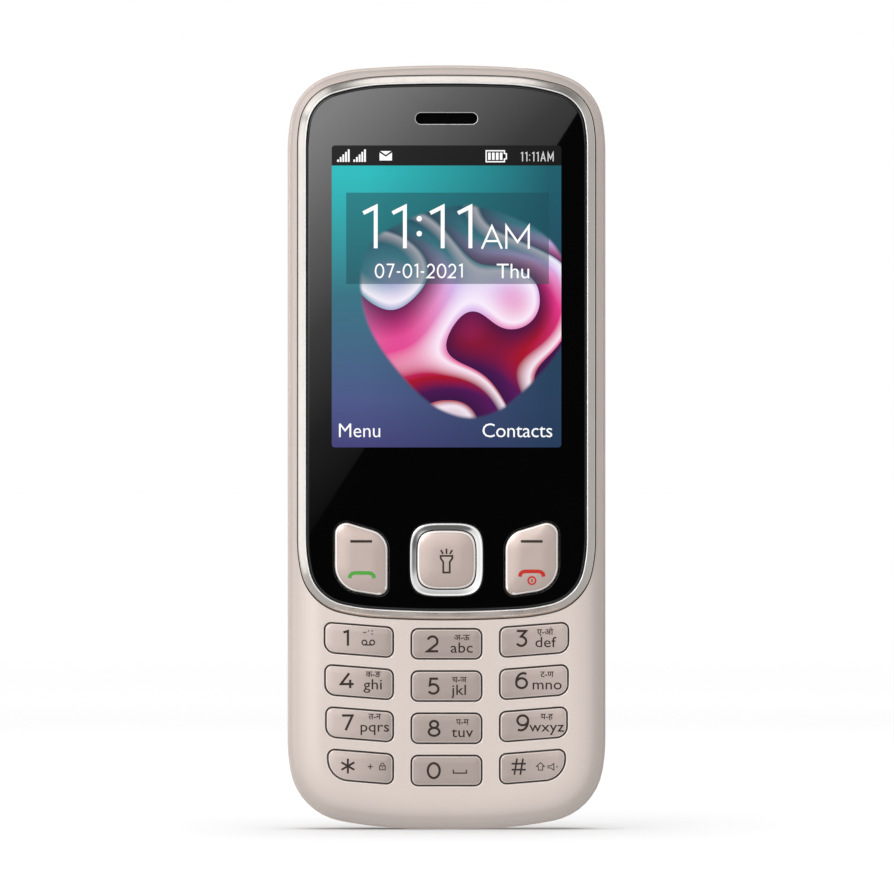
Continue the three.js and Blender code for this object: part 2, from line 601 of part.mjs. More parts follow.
// ---------------------------------------------------------------------------------------------------------------
// Board and what it carries
// ---------------------------------------------------------------------------------------------------------------
// Its upper corners are cut away square, and its lower edges are notched, to clear the screw bosses.
function mainBoard() {
  const sheet = plate(outline(BODY, 4), BOARD_FRONT, BOARD_BACK);
  const clearance = BOSS_RADIUS + 0.7;
  const cuts = SCREWS.map(({ x, z }) => {
    if (z < HEIGHT / 2) return bar("y", [x, 0, z], -3, 1, clearance, 10);
    const inner = Math.abs(x) - clearance;
    return block(x < 0 ? [-WIDTH, -inner] : [inner, WIDTH], [-3, 1], [z - clearance, HEIGHT]);
  });
  return cut(sheet, ...cuts);
}

// A pressed can, open towards the board.
function shieldCan(x, z, width, height) {
  const [front, back] = [BOARD_BACK + 0.05, BAY_FLOOR - 0.75];
  const skin = 0.2;
  return cut(
    plate(rounded(rectangle(x, z, width, height, 0.6)), front, back),
    plate(rounded(rectangle(x, z, width - 2 * skin, height - 2 * skin, 0.4)), front - 1, back - skin),
  );
}

// A card cage: a low metal cover with an open mouth and a cut-out for the contacts.
function cardHolder({ x, z, width, height }) {
  const [front, back] = [BOARD_BACK + 0.05, BAY_FLOOR - 0.7];
  const w = width - 0.6;
  const body = plate(rounded(rectangle(x, z, w, height - 0.6, 0.5)), front, back);
  const slit = block([x - w / 2 + 0.8, x + w / 2 - 0.8], [front + 0.3, back - 0.25], [z - height, z + height / 2 - 1.6]);
  const view = plate(rounded(rectangle(x, z + 1, w * 0.5, height * 0.45, 0.8)), back - 0.4, back + 1);
  return cut(body, slit, view);
}

function usbSocket() {
  const [front, back] = [BOARD_BACK + 0.05, BOARD_BACK + 0.05 + USB.height];
  const [low, high] = [USB.mouth, USB.mouth + USB.depth];
  const [x0, x1] = [USB.x - USB.width / 2, USB.x + USB.width / 2];
  const tongue = block([x0 + 1.4, x1 - 1.4], [front + 1, front + 1.7], [low + 0.7, high - 1]);
  return join(
    cut(block([x0, x1], [front, back], [low, high]), block([x0 + 0.35, x1 - 0.35], [front + 0.35, back - 0.35], [low - 1, high - 1.2])),
    tongue.add(block([x0 + 1.4, x1 - 1.4], [front + 1, front + 1.7], [high - 1.6, high - 0.6])),
  );
}

function headphoneJack() {
  const top = HEIGHT - SHELL_WALL - 1;
  const shoulder = top - 3;
  const body = block([JACK.x - 3, JACK.x + 3], [BOARD_BACK + 0.05, JACK.y + 2.2], [top - JACK.length, shoulder]);
  const nose = bar("z", [JACK.x, JACK.y, 0], shoulder - 0.5, top, JACK.barrel - 0.2, 18);
  return cut(join(body, nose), bar("z", [JACK.x, JACK.y, 0], top - JACK.length + 1.4, HEIGHT, JACK.bore, 16));
}

function torchLens() {
  const top = HEIGHT - SHELL_WALL - 0.35;
  return join(
    bar("z", [0, TORCH.y, 0], top - 2.2, top, TORCH.radius, 16),
    bar("z", [0, TORCH.y, 0], top - 2.2, top - 1.6, TORCH.radius + 0.6, 16).intersect(
      block([-3, 3], [BOARD_BACK + 0.1, 3.2], [100, HEIGHT]),
    ),
  );
}

function cameraModule() {
  const [x, z] = [CAMERA.x, CAMERA.z];
  const box = block([x - 3.6, x + 3.6], [BOARD_BACK + 0.05, 3.8], [z - 3.6, z + 3.6]);
  const barrel = bar("y", [x, 0, z], 3.6, 5.3, CAMERA.barrel, 20);
  return cut(join(box, barrel), bar("y", [x, 0, z], 4.7, 6, 1.4, 16));
}

function loudspeaker() {
  const shape = rounded(rectangle(SPEAKER.x, SPEAKER.z, SPEAKER.width, SPEAKER.height, 2.4));
  const frame = plate(shape, BOARD_BACK + 0.6, 4.1);
  return cut(frame, plate(rounded(rectangle(SPEAKER.x, SPEAKER.z, 11.4, 7.6, 1.8)), 3.3, 5));
}

function vibrationMotor() {
  return join(
    bar("x", [0, MOTOR.y, MOTOR.z], MOTOR.from, MOTOR.to, MOTOR.radius, 18),
    bar("x", [0, MOTOR.y, MOTOR.z], MOTOR.to - 0.5, MOTOR.to + 0.5, 0.8, 12),
  );
}

// The eccentric weight on the motor's shaft: a sector that hangs below the shaft, with its hub.
function motorWeight() {
  const [from, to] = [MOTOR.to + 0.8, MOTOR.to + 3.8];
  const sector = bar("x", [0, MOTOR.y, MOTOR.z], from, to, MOTOR.radius + 0.1, 24);
  const lower = block([from - 1, to + 1], [MOTOR.y - 4, MOTOR.y + 4], [MOTOR.z - 4, MOTOR.z]);
  return join(sector.intersect(lower), bar("x", [0, MOTOR.y, MOTOR.z], from, to, 0.8, 12));
}

function microphone() {
  return bar("y", [MICROPHONE.x, 0, MICROPHONE.z], BOARD_BACK + 0.05, BOARD_BACK + 1.5, 2, 16);
}

// Three sprung blades in a moulded block, which press on the battery's end.
function batteryContacts() {
  const { width, bottom, top, rear } = CONTACTS;
  const blades = [-3, 0, 3].map((x) =>
    block([x - 0.5, x + 0.5], [2.4, 4.2], [bottom - 0.55, bottom + 0.3]),
  );
  return join(block([-width / 2, width / 2], [BOARD_BACK + 0.05, rear], [bottom, top]), ...blades);
}

function antennaCarrier() {
  const base = plate(rounded(rectangle(2, 12.6, 26, 7, 1.5)), 1.6, 4);
  return cut(base, plate(rounded(rectangle(2, 12.6, 20, 2.4, 1)), 3.4, 5));
}

function housingScrew({ x, z }) {
  const head = plate(disc(x, z, SCREW_HEAD, 10), SCREW_HEAD_FRONT + 0.1, SCREW_HEAD_FRONT + 1.1, {
    inset: 0.25,
    depth: 0.25,
    steps: 1,
  });
  const shank = bar("y", [x, 0, z], BOARD_FRONT - 1.2, SCREW_HEAD_FRONT + 0.4, SCREW_SHANK, 6);
  const cross = [[0.75, 0.18], [0.18, 0.75]].map(([w, h]) =>
    block([x - w, x + w], [SCREW_HEAD_FRONT + 0.7, 4], [z - h, z + h]),
  );
  return cut(join(head, shank), ...cross);
}

// ---------------------------------------------------------------------------------------------------------------
// Battery and the pieces on the cover
// ---------------------------------------------------------------------------------------------------------------
const BATTERY = { width: 42, bottom: 21.4, top: 80.7, front: BAY_FLOOR + 0.1, back: CHASSIS_REAR };

function battery() {
  const { width, bottom, top, front, back } = BATTERY;
  const shape = rounded(rectangle(0, (bottom + top) / 2, width, top - bottom, 1.2));
  const pads = [-3, 0, 3].map((x) => block([x - 1, x + 1], [front + 0.6, back - 0.7], [top - 0.35, top + 1]));
  return cut(plate(shape, front, back, { inset: 0.6, depth: 0.6, steps: 2 }), ...pads);
}

function cameraWindow() {
  return plate(disc(CAMERA.x, CAMERA.z, CAMERA.window, 24), REAR - 0.85, REAR - 0.05, {
    inset: 0.2,
    depth: 0.2,
    steps: 1,
  });
}

function speakerMesh() {
  return plate(rounded(rectangle(SPEAKER.x, SPEAKER.z, 12, 8.6, 0.6)), COVER_INSIDE - 0.25, COVER_INSIDE - 0.1);
}

// ---------------------------------------------------------------------------------------------------------------
// Assembly
// ---------------------------------------------------------------------------------------------------------------
add("front_housing", frontHousing(), "rosePaint");
add("bezel_ring", bezelRing(), "trim");
add("window_lens", windowLens(), "window");
add("rear_chassis", rearChassis(), "blackPlastic");
add("battery_cover", batteryCover(), "rosePaint");
add("camera_window", cameraWindow(), "clear");
add("speaker_mesh", speakerMesh(), "steel");
add("battery", battery(), "batteryWrap");

keypad.forEach(({ name, opening }) => add(name, keypadKey(opening), "keyPaint"));
add("left_function_key", functionKey(leftFunctionKey), "rosePaint");
add("right_function_key", functionKey(rightFunctionKey), "rosePaint");
add("nav_ring", fourWayRing(), "chrome");
add("nav_ring_base", fourWayBase(), "blackPlastic");
add("centre_key", centreKey(), "rosePaint");
add("keypad_mat", keypadMat(), "silicone");
add("dome_sheet", domeSheet(), "steel");

add("display_panel", displayPanel(), "display");
add("display_frame", displayFrame(), "steel");
add("display_flex", displayFlex(), "gold");
add("earpiece_speaker", earpieceSpeaker(), "blackPlastic");
add("earpiece_mesh", plate(rounded(rectangle(0, EARPIECE.z, 10.8, 2.6, 0.6)), WINDOW_BACK + 0.05, WINDOW_BACK + 0.2), "steel");

add("main_board", mainBoard(), "board");
add("shield_can_radio", shieldCan(-14.4, 33, 12, 22), "steel");
add("shield_can_power", shieldCan(14.4, 33, 12, 22), "steel");
add("sim_holder_left", cardHolder({ ...SIM, x: -SIM.x }), "steel");
add("sim_holder_right", cardHolder(SIM), "steel");
add("memory_card_holder", cardHolder(CARD), "steel");
add("micro_usb_socket", usbSocket(), "steel");
add("headphone_jack", headphoneJack(), "blackPlastic");
add("torch_led", block([-1.6, 1.6], [BOARD_BACK + 0.05, 2.6], [HEIGHT - 6.2, HEIGHT - 4.4]), "display");
add("torch_lens", torchLens(), "clear");
add("camera_module", cameraModule(), "blackPlastic");
add("loudspeaker", loudspeaker(), "blackPlastic");
add("vibration_motor", vibrationMotor(), "steel");
add("motor_weight", motorWeight(), "steel");
add("microphone", microphone(), "steel");
add("battery_contacts", batteryContacts(), "gold");
add("antenna_carrier", antennaCarrier(), "blackPlastic");
SCREWS.forEach((screw) => add(screw.name, housingScrew(screw), "steel"));

export default phone;
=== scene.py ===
"""The look of the candy-bar phone: fine shells, keys with printed legends, a lit display, and the studio round it."""
import math

import bmesh
import bpy
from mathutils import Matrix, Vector
from mathutils.bvhtree import BVHTree

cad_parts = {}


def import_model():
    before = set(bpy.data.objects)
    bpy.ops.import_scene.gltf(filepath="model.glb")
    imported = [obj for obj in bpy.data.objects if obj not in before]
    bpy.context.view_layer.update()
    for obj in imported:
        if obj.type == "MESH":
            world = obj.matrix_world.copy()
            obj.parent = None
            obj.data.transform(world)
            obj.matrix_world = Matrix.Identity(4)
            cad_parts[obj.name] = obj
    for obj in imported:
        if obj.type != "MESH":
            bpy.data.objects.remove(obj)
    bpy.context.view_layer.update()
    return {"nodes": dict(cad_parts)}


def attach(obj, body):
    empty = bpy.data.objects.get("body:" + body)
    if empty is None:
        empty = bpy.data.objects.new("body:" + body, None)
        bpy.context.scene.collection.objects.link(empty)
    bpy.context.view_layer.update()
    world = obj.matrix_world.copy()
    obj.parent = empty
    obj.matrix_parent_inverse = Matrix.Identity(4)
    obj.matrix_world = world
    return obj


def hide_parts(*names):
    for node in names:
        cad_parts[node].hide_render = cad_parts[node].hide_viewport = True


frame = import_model()
scene = bpy.context.scene
MM = 0.001

# --- Sizes in millimetres, the same as the frame's ---
HEIGHT = 123.0
BODY = dict(half=25.6, top=HEIGHT, bottom=0.0, foot=4.0,
            upper=(4.5, [(19.3, 19), (9, 56.5), (31, 10)]), lower=(11.2, [(10, 68.7), (30, 10.1)]))
WINDOW = dict(half=22.53, top=119.86, bottom=35.15, foot=0.0,
              upper=(2.1, [(34, 14.2), (6.1, 63.2), (21, 10.5)]),
              lower=(3.5, [(30.6, 10.3), (7, 63.6), (23.8, 12.6)]))
ARC_STEPS = (6, 8, 18, 5)

FACE, FACE_BACK = -5.5, -4.3
PARTING = -1.0
PARTING_STEP = 0.45
SHELL_WALL = 1.2
RING_LIP, RING_FOOT, RING_BACK = -6.5, -5.3, -3.9
RING_WIDTH = 1.38
LENS_FRONT, LENS_BACK = -6.4, -5.2
REAR = 7.0

KEY_TOP, KEY_BACK = -5.8, -3.6
KEY_GAP = 0.25
KEY_ROWS, KEY_PITCH, LOWEST_ROW = 4, 6.79, 9.5
KEY_HEIGHT, MIDDLE_KEY_WIDTH = 5.06, 11.54
SIDE_KEY_INNER, SIDE_KEY_OUTER = 8.45, (19.72, 19.65, 19.5, 19.2)
SIDE_KEY_RISE, SIDE_KEY_SLANT = 0.63, 0.87
KEY_CORNER, OUTER_LOWER_CORNER = 1.2, (1.9, 1.9, 1.9, 3.6)
KEY_NAMES = (("key_1", "key_2", "key_3"), ("key_4", "key_5", "key_6"),
             ("key_7", "key_8", "key_9"), ("key_star", "key_0", "key_hash"))

PAD_Z = 43.4
PAD_HALF, CENTRE_HALF, PAD_CLEARANCE = 5.88, 4.7, 0.2
SQUIRCLE_POWER = 4
FUNCTION_KEY_X = 13.7
FUNCTION_KEY_TOP, CENTRE_KEY_TOP, BIG_KEY_BACK = -6.85, -6.9, -3.3
CROWN_CORNER = 1.4  # the smallest corner radius on a function key's crown
CROWN_STEPS = 6
FOUR_WAY_FRONT, FOUR_WAY_BACK = -7.0, -5.1
FUNCTION_KEY_CORNERS = ((-4.26, 6.46, 1.87), (4.26, 3.89, 3.4), (4.26, -6.12, 1.5), (-4.26, -4.8, 4.3))

EARPIECE = dict(z=114.3, width=9.9, height=1.75)
DISPLAY_PRINT = 0.006, 0.004  # how far the display's signs stand out of the picture, and reach into it
SCREEN = dict(left=-18.44, right=18.44, bottom=61.45, top=109.97, corner=0.5)
CAMERA = dict(x=0.0, z=101.0, window=3.6)
SPEAKER = dict(x=13.5, z=99.0)
USB = dict(x=-11.0, y=0.95, width=8.6, height=3.3)
JACK = dict(x=12.0, y=1.8, bore=2.15)
TORCH = dict(y=1.6, radius=1.9)
MICROPHONE = dict(x=12.0, y=0.6)


# --- Outlines, as lists of (x, z) ---
def quarter(form, corner, foot, inset):
    crown_turn, arcs = math.radians(corner[0]), corner[1]
    heading, across, spans = crown_turn, foot, []
    for radius, turn in arcs:
        start, heading = heading, heading + math.radians(turn)
        across += (radius - inset) * (math.sin(heading) - math.sin(start))
        spans.append((radius - inset, start, math.radians(turn)))
    crown = (form["half"] - inset - across) / math.sin(crown_turn)
    points = [(foot, 0.0)]
    x, drop = points[0]
    for (radius, start, turn), steps in zip([(crown, 0.0, crown_turn), *spans], ARC_STEPS):
        cx, cz = x - radius * math.sin(start), drop + radius * math.cos(start)
        for i in range(1, steps + 1):
            at = start + turn * i / steps
            x, drop = cx + radius * math.sin(at), cz - radius * math.cos(at)
            points.append((x, drop))
    return points


def outline(form, inset=0.0):
    top, bottom = form["top"] - inset, form["bottom"] + inset
    upper = [(x, top - d) for x, d in quarter(form, form["upper"], 0.0, inset)]
    lower = [(x, bottom + d) for x, d in quarter(form, form["lower"], form["foot"], inset)][::-1]
    right = upper + lower
    left = [(-x, z) for x, z in right][::-1]
    points = right + left
    return [p for i, p in enumerate(points) if math.dist(p, points[i - 1]) > 1e-6]


def grown(corners, grow):
    """Corners (x, z, radius), clockwise, of a convex shape moved outwards by grow, which widens each radius too."""
    sides = []
    for (x, z, _), (nx, nz, _) in zip(corners, (*corners[1:], corners[0])):
        length = math.hypot(nx - x, nz - z)
        ax, az = (nx - x) / length, (nz - z) / length
        sides.append(((x - az * grow, z + ax * grow), (ax, az)))
    out = []
    for i, (_, _, radius) in enumerate(corners):
        (a, da), (b, db) = sides[i - 1], sides[i]
        cross = da[0] * db[1] - da[1] * db[0]
        t = ((b[0] - a[0]) * db[1] - (b[1] - a[1]) * db[0]) / cross
        out.append((a[0] + da[0] * t, a[1] + da[1] * t, max(0.05, radius + grow)))
    return out


def rounded(corners, steps=8):
    """The outline of a shape whose corners (x, z, radius), clockwise, are rounded by arcs."""
    points = []
    for i, (x, z, radius) in enumerate(corners):
        px, pz, _ = corners[i - 1]
        nx, nz, _ = corners[(i + 1) % len(corners)]
        back, ahead = math.atan2(pz - z, px - x), math.atan2(nz - z, nx - x)
        opening = abs(math.atan2(math.sin(ahead - back), math.cos(ahead - back)))
        reach = radius / math.tan(opening / 2)
        bisector = math.atan2(math.sin(back) + math.sin(ahead), math.cos(back) + math.cos(ahead))
        far = math.hypot(radius, reach)
        cx, cz = x + far * math.cos(bisector), z + far * math.sin(bisector)
        start = math.atan2(z + reach * math.sin(back) - cz, x + reach * math.cos(back) - cx)
        for k in range(steps + 1):
            at = start - (math.pi - opening) * k / steps
            points.append((cx + radius * math.cos(at), cz + radius * math.sin(at)))
    return points


def rectangle(x, z, width, height, radius):
    w, h = width / 2, height / 2
    return [(x - w, z + h, radius), (x + w, z + h, radius), (x + w, z - h, radius), (x - w, z - h, radius)]


def squircle(x, z, half, count=72):
    points = []
    for i in range(count):
        at = -2 * math.pi * i / count
        c, s = math.cos(at), math.sin(at)
        reach = half / (abs(c) ** SQUIRCLE_POWER + abs(s) ** SQUIRCLE_POWER) ** (1 / SQUIRCLE_POWER)
        points.append((x + reach * c, z + reach * s))
    return points


def circle(x, z, radius, count=40):
    return [(x + radius * math.cos(-2 * math.pi * i / count), z + radius * math.sin(-2 * math.pi * i / count))
            for i in range(count)]


def mirrored(corners):
    return [(-x, z, radius) for x, z, radius in corners][::-1]


def key_opening(row, column):
    z = LOWEST_ROW + (KEY_ROWS - 1 - row) * KEY_PITCH
    if column == 1:
        return rectangle(0, z, MIDDLE_KEY_WIDTH, KEY_HEIGHT, KEY_CORNER)
    high, low = z + SIDE_KEY_RISE + SIDE_KEY_SLANT / 2, z + SIDE_KEY_RISE - SIDE_KEY_SLANT / 2
    half, outer, inner = KEY_HEIGHT / 2, -SIDE_KEY_OUTER[row], -SIDE_KEY_INNER
    corners = [(outer, high + half, KEY_CORNER), (inner, low + half, KEY_CORNER),
               (inner, low - half, KEY_CORNER), (outer, high - half, OUTER_LOWER_CORNER[row])]
    return corners if column == 0 else mirrored(corners)


KEYS = {name: key_opening(row, column) for row, names in enumerate(KEY_NAMES) for column, name in enumerate(names)}
LEFT_FUNCTION_KEY = [(x - FUNCTION_KEY_X, z + PAD_Z + 0.15, r) for x, z, r in FUNCTION_KEY_CORNERS]
RIGHT_FUNCTION_KEY = mirrored(LEFT_FUNCTION_KEY)


# --- Meshes ---
def ring(bm, points, y):
    return [bm.verts.new((x * MM, y * MM, z * MM)) for x, z in points]


def wall(bm, a, b):
    for i in range(len(a)):
        bm.faces.new((a[i - 1], a[i], b[i], b[i - 1]))


def shell(name, outer, inner):
    """A dish whose outer and inner faces follow the profiles (grow, y) and meet along its rim."""
    bm = bmesh.new()
    rings, inner_rings = [[ring(bm, body_shape(grow), y) for grow, y in profile] for profile in (outer, inner)]
    for a, b in [*zip(rings, rings[1:]), *zip(inner_rings, inner_rings[1:])]:
        wall(bm, a, b)
    bm.faces.new(rings[-1])
    bm.faces.new(inner_rings[0])
    wall(bm, inner_rings[-1], rings[0])
    return finished(bm, name)


def lofted(bm, shape, profile, capped=True, marked=()):
    """Rings of shape(grow) at each (grow, y) of the profile, joined by walls. Uncapped, the last meets the first.

    The faces of the marked walls go to the second material."""
    rings = [ring(bm, shape(grow), y) for grow, y in profile]
    for i, (a, b) in enumerate(zip(rings, rings[1:])):
        wall(bm, a, b)
        if i in marked:
            bm.faces.ensure_lookup_table()
            for face in bm.faces[-len(a):]:
                face.material_index = 1
    if capped:
        bm.faces.new(rings[0])
        bm.faces.new(rings[-1])
    else:
        wall(bm, rings[-1], rings[0])


def arc(grow_from, y_from, grow_to, y_to, steps, begins="side"):
    """A quarter ellipse between two profile points, which leaves the first along Y ("side") or across it ("face")."""
    out = []
    for i in range(steps + 1):
        at = math.pi / 2 * i / steps
        along, over = (math.sin(at), 1 - math.cos(at)) if begins == "side" else (1 - math.cos(at), math.sin(at))
        out.append((grow_from + (grow_to - grow_from) * over, y_from + (y_to - y_from) * along))
    return out


def smooth(mesh, sharp=35):
    for polygon in mesh.polygons:
        polygon.use_smooth = True
    mesh.set_sharp_from_angle(angle=math.radians(sharp))


def finished(bm, name, sharp=35):
    bmesh.ops.recalc_face_normals(bm, faces=bm.faces)
    mesh = bpy.data.meshes.new(name)
    bm.to_mesh(mesh)
    bm.free()
    smooth(mesh, sharp)
    piece = bpy.data.objects.new(name, mesh)
    scene.collection.objects.link(piece)
    return piece


def weighted(piece):
    modifier = piece.modifiers.new("even_shading", "WEIGHTED_NORMAL")
    modifier.keep_sharp = True
    modifier.weight = 100
    return piece


def carved(piece, cutter_bm):
    """piece with the closed shapes of cutter_bm taken out of it."""
    cutter = finished(cutter_bm, piece.name + "_cutter")
    for mesh in (piece.data, cutter.data):
        mesh.materials.append(None)
        mesh.materials.append(None)
    modifier = piece.modifiers.new("carve", "BOOLEAN")
    modifier.operation, modifier.solver, modifier.object = "DIFFERENCE", "EXACT", cutter
    bpy.context.view_layer.update()
    mesh = bpy.data.meshes.new_from_object(piece.evaluated_get(bpy.context.evaluated_depsgraph_get()))
    piece.modifiers.remove(modifier)
    old, piece.data = piece.data, mesh
    mesh.name = piece.name
    bpy.data.meshes.remove(old)
    bpy.data.objects.remove(cutter)
    smooth(mesh)
    return piece


def placed(piece, body, slot, look, *nodes, edge=None):
    """Dresses a piece and fixes it to its body. Its marked faces, or else its slanted ones, take the edge look, a
    painted highlight.
    """
    marks = [polygon.material_index for polygon in piece.data.polygons]
    piece.data.materials.clear()
    piece.data.materials.append(look)
    if edge:
        piece.data.materials.append(edge)
        for polygon, mark in zip(piece.data.polygons, marks):
            polygon.material_index = mark if any(marks) else int(0.2 < -polygon.normal.y < 0.955)
    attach(piece, body)
    if nodes:
        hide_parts(*nodes)
    return piece


# --- Materials ---
class Wire:
    """A value in a node tree, whose sums, products and comparisons become nodes."""

    def __init__(self, tree, socket):
        self.tree, self.socket = tree, socket

    def worked(self, operation, a, b=0.0):
        made = self.tree.nodes.new("ShaderNodeMath")
        made.operation = operation
        for i, value in enumerate((a, b)):
            if isinstance(value, Wire):
                self.tree.links.new(value.socket, made.inputs[i])
            else:
                made.inputs[i].default_value = value
        return Wire(self.tree, made.outputs["Value"])

    def __add__(self, other):
        return self.worked("ADD", self, other)

    def __sub__(self, other):
        return self.worked("SUBTRACT", self, other)

    def __rsub__(self, other):
        return self.worked("SUBTRACT", other, self)

    def __mul__(self, other):
        return self.worked("MULTIPLY", self, other)

    def __gt__(self, other):
        return self.worked("GREATER_THAN", self, other)

    def __lt__(self, other):
        return self.worked("LESS_THAN", self, other)

    __radd__, __rmul__ = __add__, __mul__


class Nodes:
    """A node tree as it is built."""

    def __init__(self, tree):
        self.tree = tree

    def node(self, kind, **settings):
        made = self.tree.nodes.new(kind)
        for key, value in settings.items():
            setattr(made, key, value)
        return made

    def link(self, source, target):
        self.tree.links.new(source.socket if isinstance(source, Wire) else source, target)

    def axes(self, place):
        """X, Y and Z of a position."""
        split = self.node("ShaderNodeSeparateXYZ")
        self.link(place, split.inputs["Vector"])
        return [Wire(self.tree, split.outputs[axis]) for axis in "XYZ"]

    def spread(self, source, from_low, from_high, to_low, to_high, how="LINEAR"):
        made = self.node("ShaderNodeMapRange", interpolation_type=how)
        for key, value in zip(("From Min", "From Max", "To Min", "To Max"), (from_low, from_high, to_low, to_high)):
            made.inputs[key].default_value = value
        self.link(source, made.inputs["Value"])
        return Wire(self.tree, made.outputs["Result"])

    def ramp(self, source, *stops):
        """A colour ramp of stops (position, colour), where a number stands for a grey."""
        made = self.node("ShaderNodeValToRGB")
        band = made.color_ramp
        while len(band.elements) < len(stops):
            band.elements.new(0.5)
        for element, (position, colour) in zip(band.elements, stops):
            colour = colour if isinstance(colour, tuple) else (colour,) * 3
            element.position, element.color = position, (*colour, 1)
        self.link(source, made.inputs["Fac"])
        return Wire(self.tree, made.outputs["Color"])

    def mix(self, factor, a, b):
        made = self.node("ShaderNodeMix", data_type="RGBA")
        for key, value in (("Factor", factor), ("A", a), ("B", b)):
            if isinstance(value, tuple):
                made.inputs[key].default_value = (*value, 1)
            else:
                self.link(value, made.inputs[key])
        return Wire(self.tree, made.outputs["Result"])


class Look(Nodes):
    """A material round one Principled shader, in object coordinates."""

    def __init__(self, name, **values):
        self.material = bpy.data.materials.new(name)
        self.material.use_nodes = True
        super().__init__(self.material.node_tree)
        self.shader = self.tree.nodes["Principled BSDF"]
        self.place = self.node("ShaderNodeTexCoord").outputs["Object"]
        for key, value in values.items():
            self.set(key.replace("_", " "), value)

    def set(self, key, value):
        self.shader.inputs[key].default_value = value

    def noise(self, scale, detail=3.0, stretch=None):
        made = self.node("ShaderNodeTexNoise")
        made.inputs["Scale"].default_value = scale
        made.inputs["Detail"].default_value = detail
        made.inputs["Roughness"].default_value = 0.5
        place = self.place
        if stretch:
            mapping = self.node("ShaderNodeMapping")
            mapping.inputs["Scale"].default_value = stretch
            self.link(place, mapping.inputs["Vector"])
            place = mapping.outputs["Vector"]
        self.link(place, made.inputs["Vector"])
        return Wire(self.tree, made.outputs["Fac"])

    def clouded(self, colour, scale, dark, light=1.0, full=0.7):
        """The colour between two of its shades, in clouds."""
        return self.ramp(self.noise(scale), (0.3, shade(colour, dark)), (full, shade(colour, light)))

    def colour(self, source):
        self.link(source, self.shader.inputs["Base Color"])

    def roughness(self, low, high, scale=900):
        self.link(self.spread(self.noise(scale), 0.3, 0.7, low, high), self.shader.inputs["Roughness"])

    def bump(self, source, strength, distance):
        made = self.node("ShaderNodeBump")
        made.inputs["Strength"].default_value = strength
        made.inputs["Distance"].default_value = distance
        self.link(source, made.inputs["Height"])
        self.link(made.outputs["Normal"], self.shader.inputs["Normal"])


def shade(colour, factor):
    return tuple(min(1.0, c * factor) for c in colour)


def lacquer(name, colour, metallic, rough, peel=0.00001, coat=0.0, sheen_colour=None):
    """Satin paint: a faint cloud in the colour, pearl flakes, and the fine peel of a sprayed coat.

    With a sheen colour, a painted sheen: the paint fades to that colour towards the left and right sides of the
    phone, more on the left."""
    look = Look(name, Metallic=metallic)
    if coat:
        look.set("Coat Weight", coat)
        look.set("Coat Roughness", 0.12)
    cloud = look.clouded(colour, 45, 0.97, 1.02)
    if sheen_colour:
        # painted sheen: the paint turns lighter towards the phone's left and right sides, more on the left
        across = look.axes(look.place)[0] * 25.0 + 0.5
        sheen_mask = look.ramp(across, (0.02, 1.0), (0.27, 0.0), (0.73, 0.0), (0.98, 0.55))
        cloud = look.mix(sheen_mask, cloud, sheen_colour)
    flakes = look.ramp(look.noise(9000, detail=1.0), (0.35, 0.0), (0.75, 1.0))
    look.colour(look.mix(flakes * 0.10, cloud, shade(colour, 1.18)))
    look.roughness(rough - 0.03, rough + 0.04)
    look.bump(look.noise(2600, detail=2.0), 0.25, peel)
    return look.material


def plated(name, colour, rough, brushed=(1, 1, 1)):
    """Plated or pressed metal with a faint draw grain and a little tarnish."""
    look = Look(name, Metallic=1.0)
    look.colour(look.clouded(colour, 160, 0.93, full=0.65))
    look.roughness(rough * 0.75, rough * 1.3, 1400)
    look.bump(look.noise(2200, stretch=brushed), 0.12, 0.000008)
    return look.material


def moulded(name, colour, rough, grain=5200, depth=0.00002, gloss=0.5):
    """Moulded plastic or rubber with spark-eroded grain and a faint flow in its colour."""
    look = Look(name, Specular_IOR_Level=gloss)
    look.colour(look.clouded(colour, 90, 0.85, 1.12))
    look.roughness(rough - 0.06, rough + 0.06, 1800)
    look.bump(look.noise(grain, detail=2.0), 0.35, depth)
    return look.material


def ink(name, colour):
    look = Look(name, Specular_IOR_Level=0.2)
    look.colour(look.clouded(colour, 3200, 0.85, 1.1))
    look.roughness(0.45, 0.55, 2500)
    return look.material


def polished(name, colour, rough):
    """Polished plastic or glass with the faint smears that handling leaves."""
    look = Look(name, IOR=1.5)
    look.colour(look.clouded(colour, 25, 0.8))
    look.roughness(rough * 0.7, rough * 1.4, 60)
    return look.material


def circuit_board(name):
    """Green solder mask with buried traces, pads and a woven glass core."""
    look = Look(name)
    tracks = look.node("ShaderNodeTexBrick")
    tracks.inputs["Scale"].default_value = 420
    tracks.inputs["Mortar Size"].default_value = 0.035
    tracks.inputs["Color1"].default_value = (0.008, 0.060, 0.030, 1)
    tracks.inputs["Color2"].default_value = (0.006, 0.050, 0.026, 1)
    tracks.inputs["Mortar"].default_value = (0.020, 0.110, 0.050, 1)
    turned = look.node("ShaderNodeMapping")
    turned.inputs["Rotation"].default_value = (math.pi / 2, 0, 0)
    look.link(look.place, turned.inputs["Vector"])
    look.link(turned.outputs["Vector"], tracks.inputs["Vector"])
    look.colour(tracks.outputs["Color"])
    look.roughness(0.3, 0.45)
    look.bump(tracks.outputs["Fac"], 0.4, 0.00003)
    return look.material


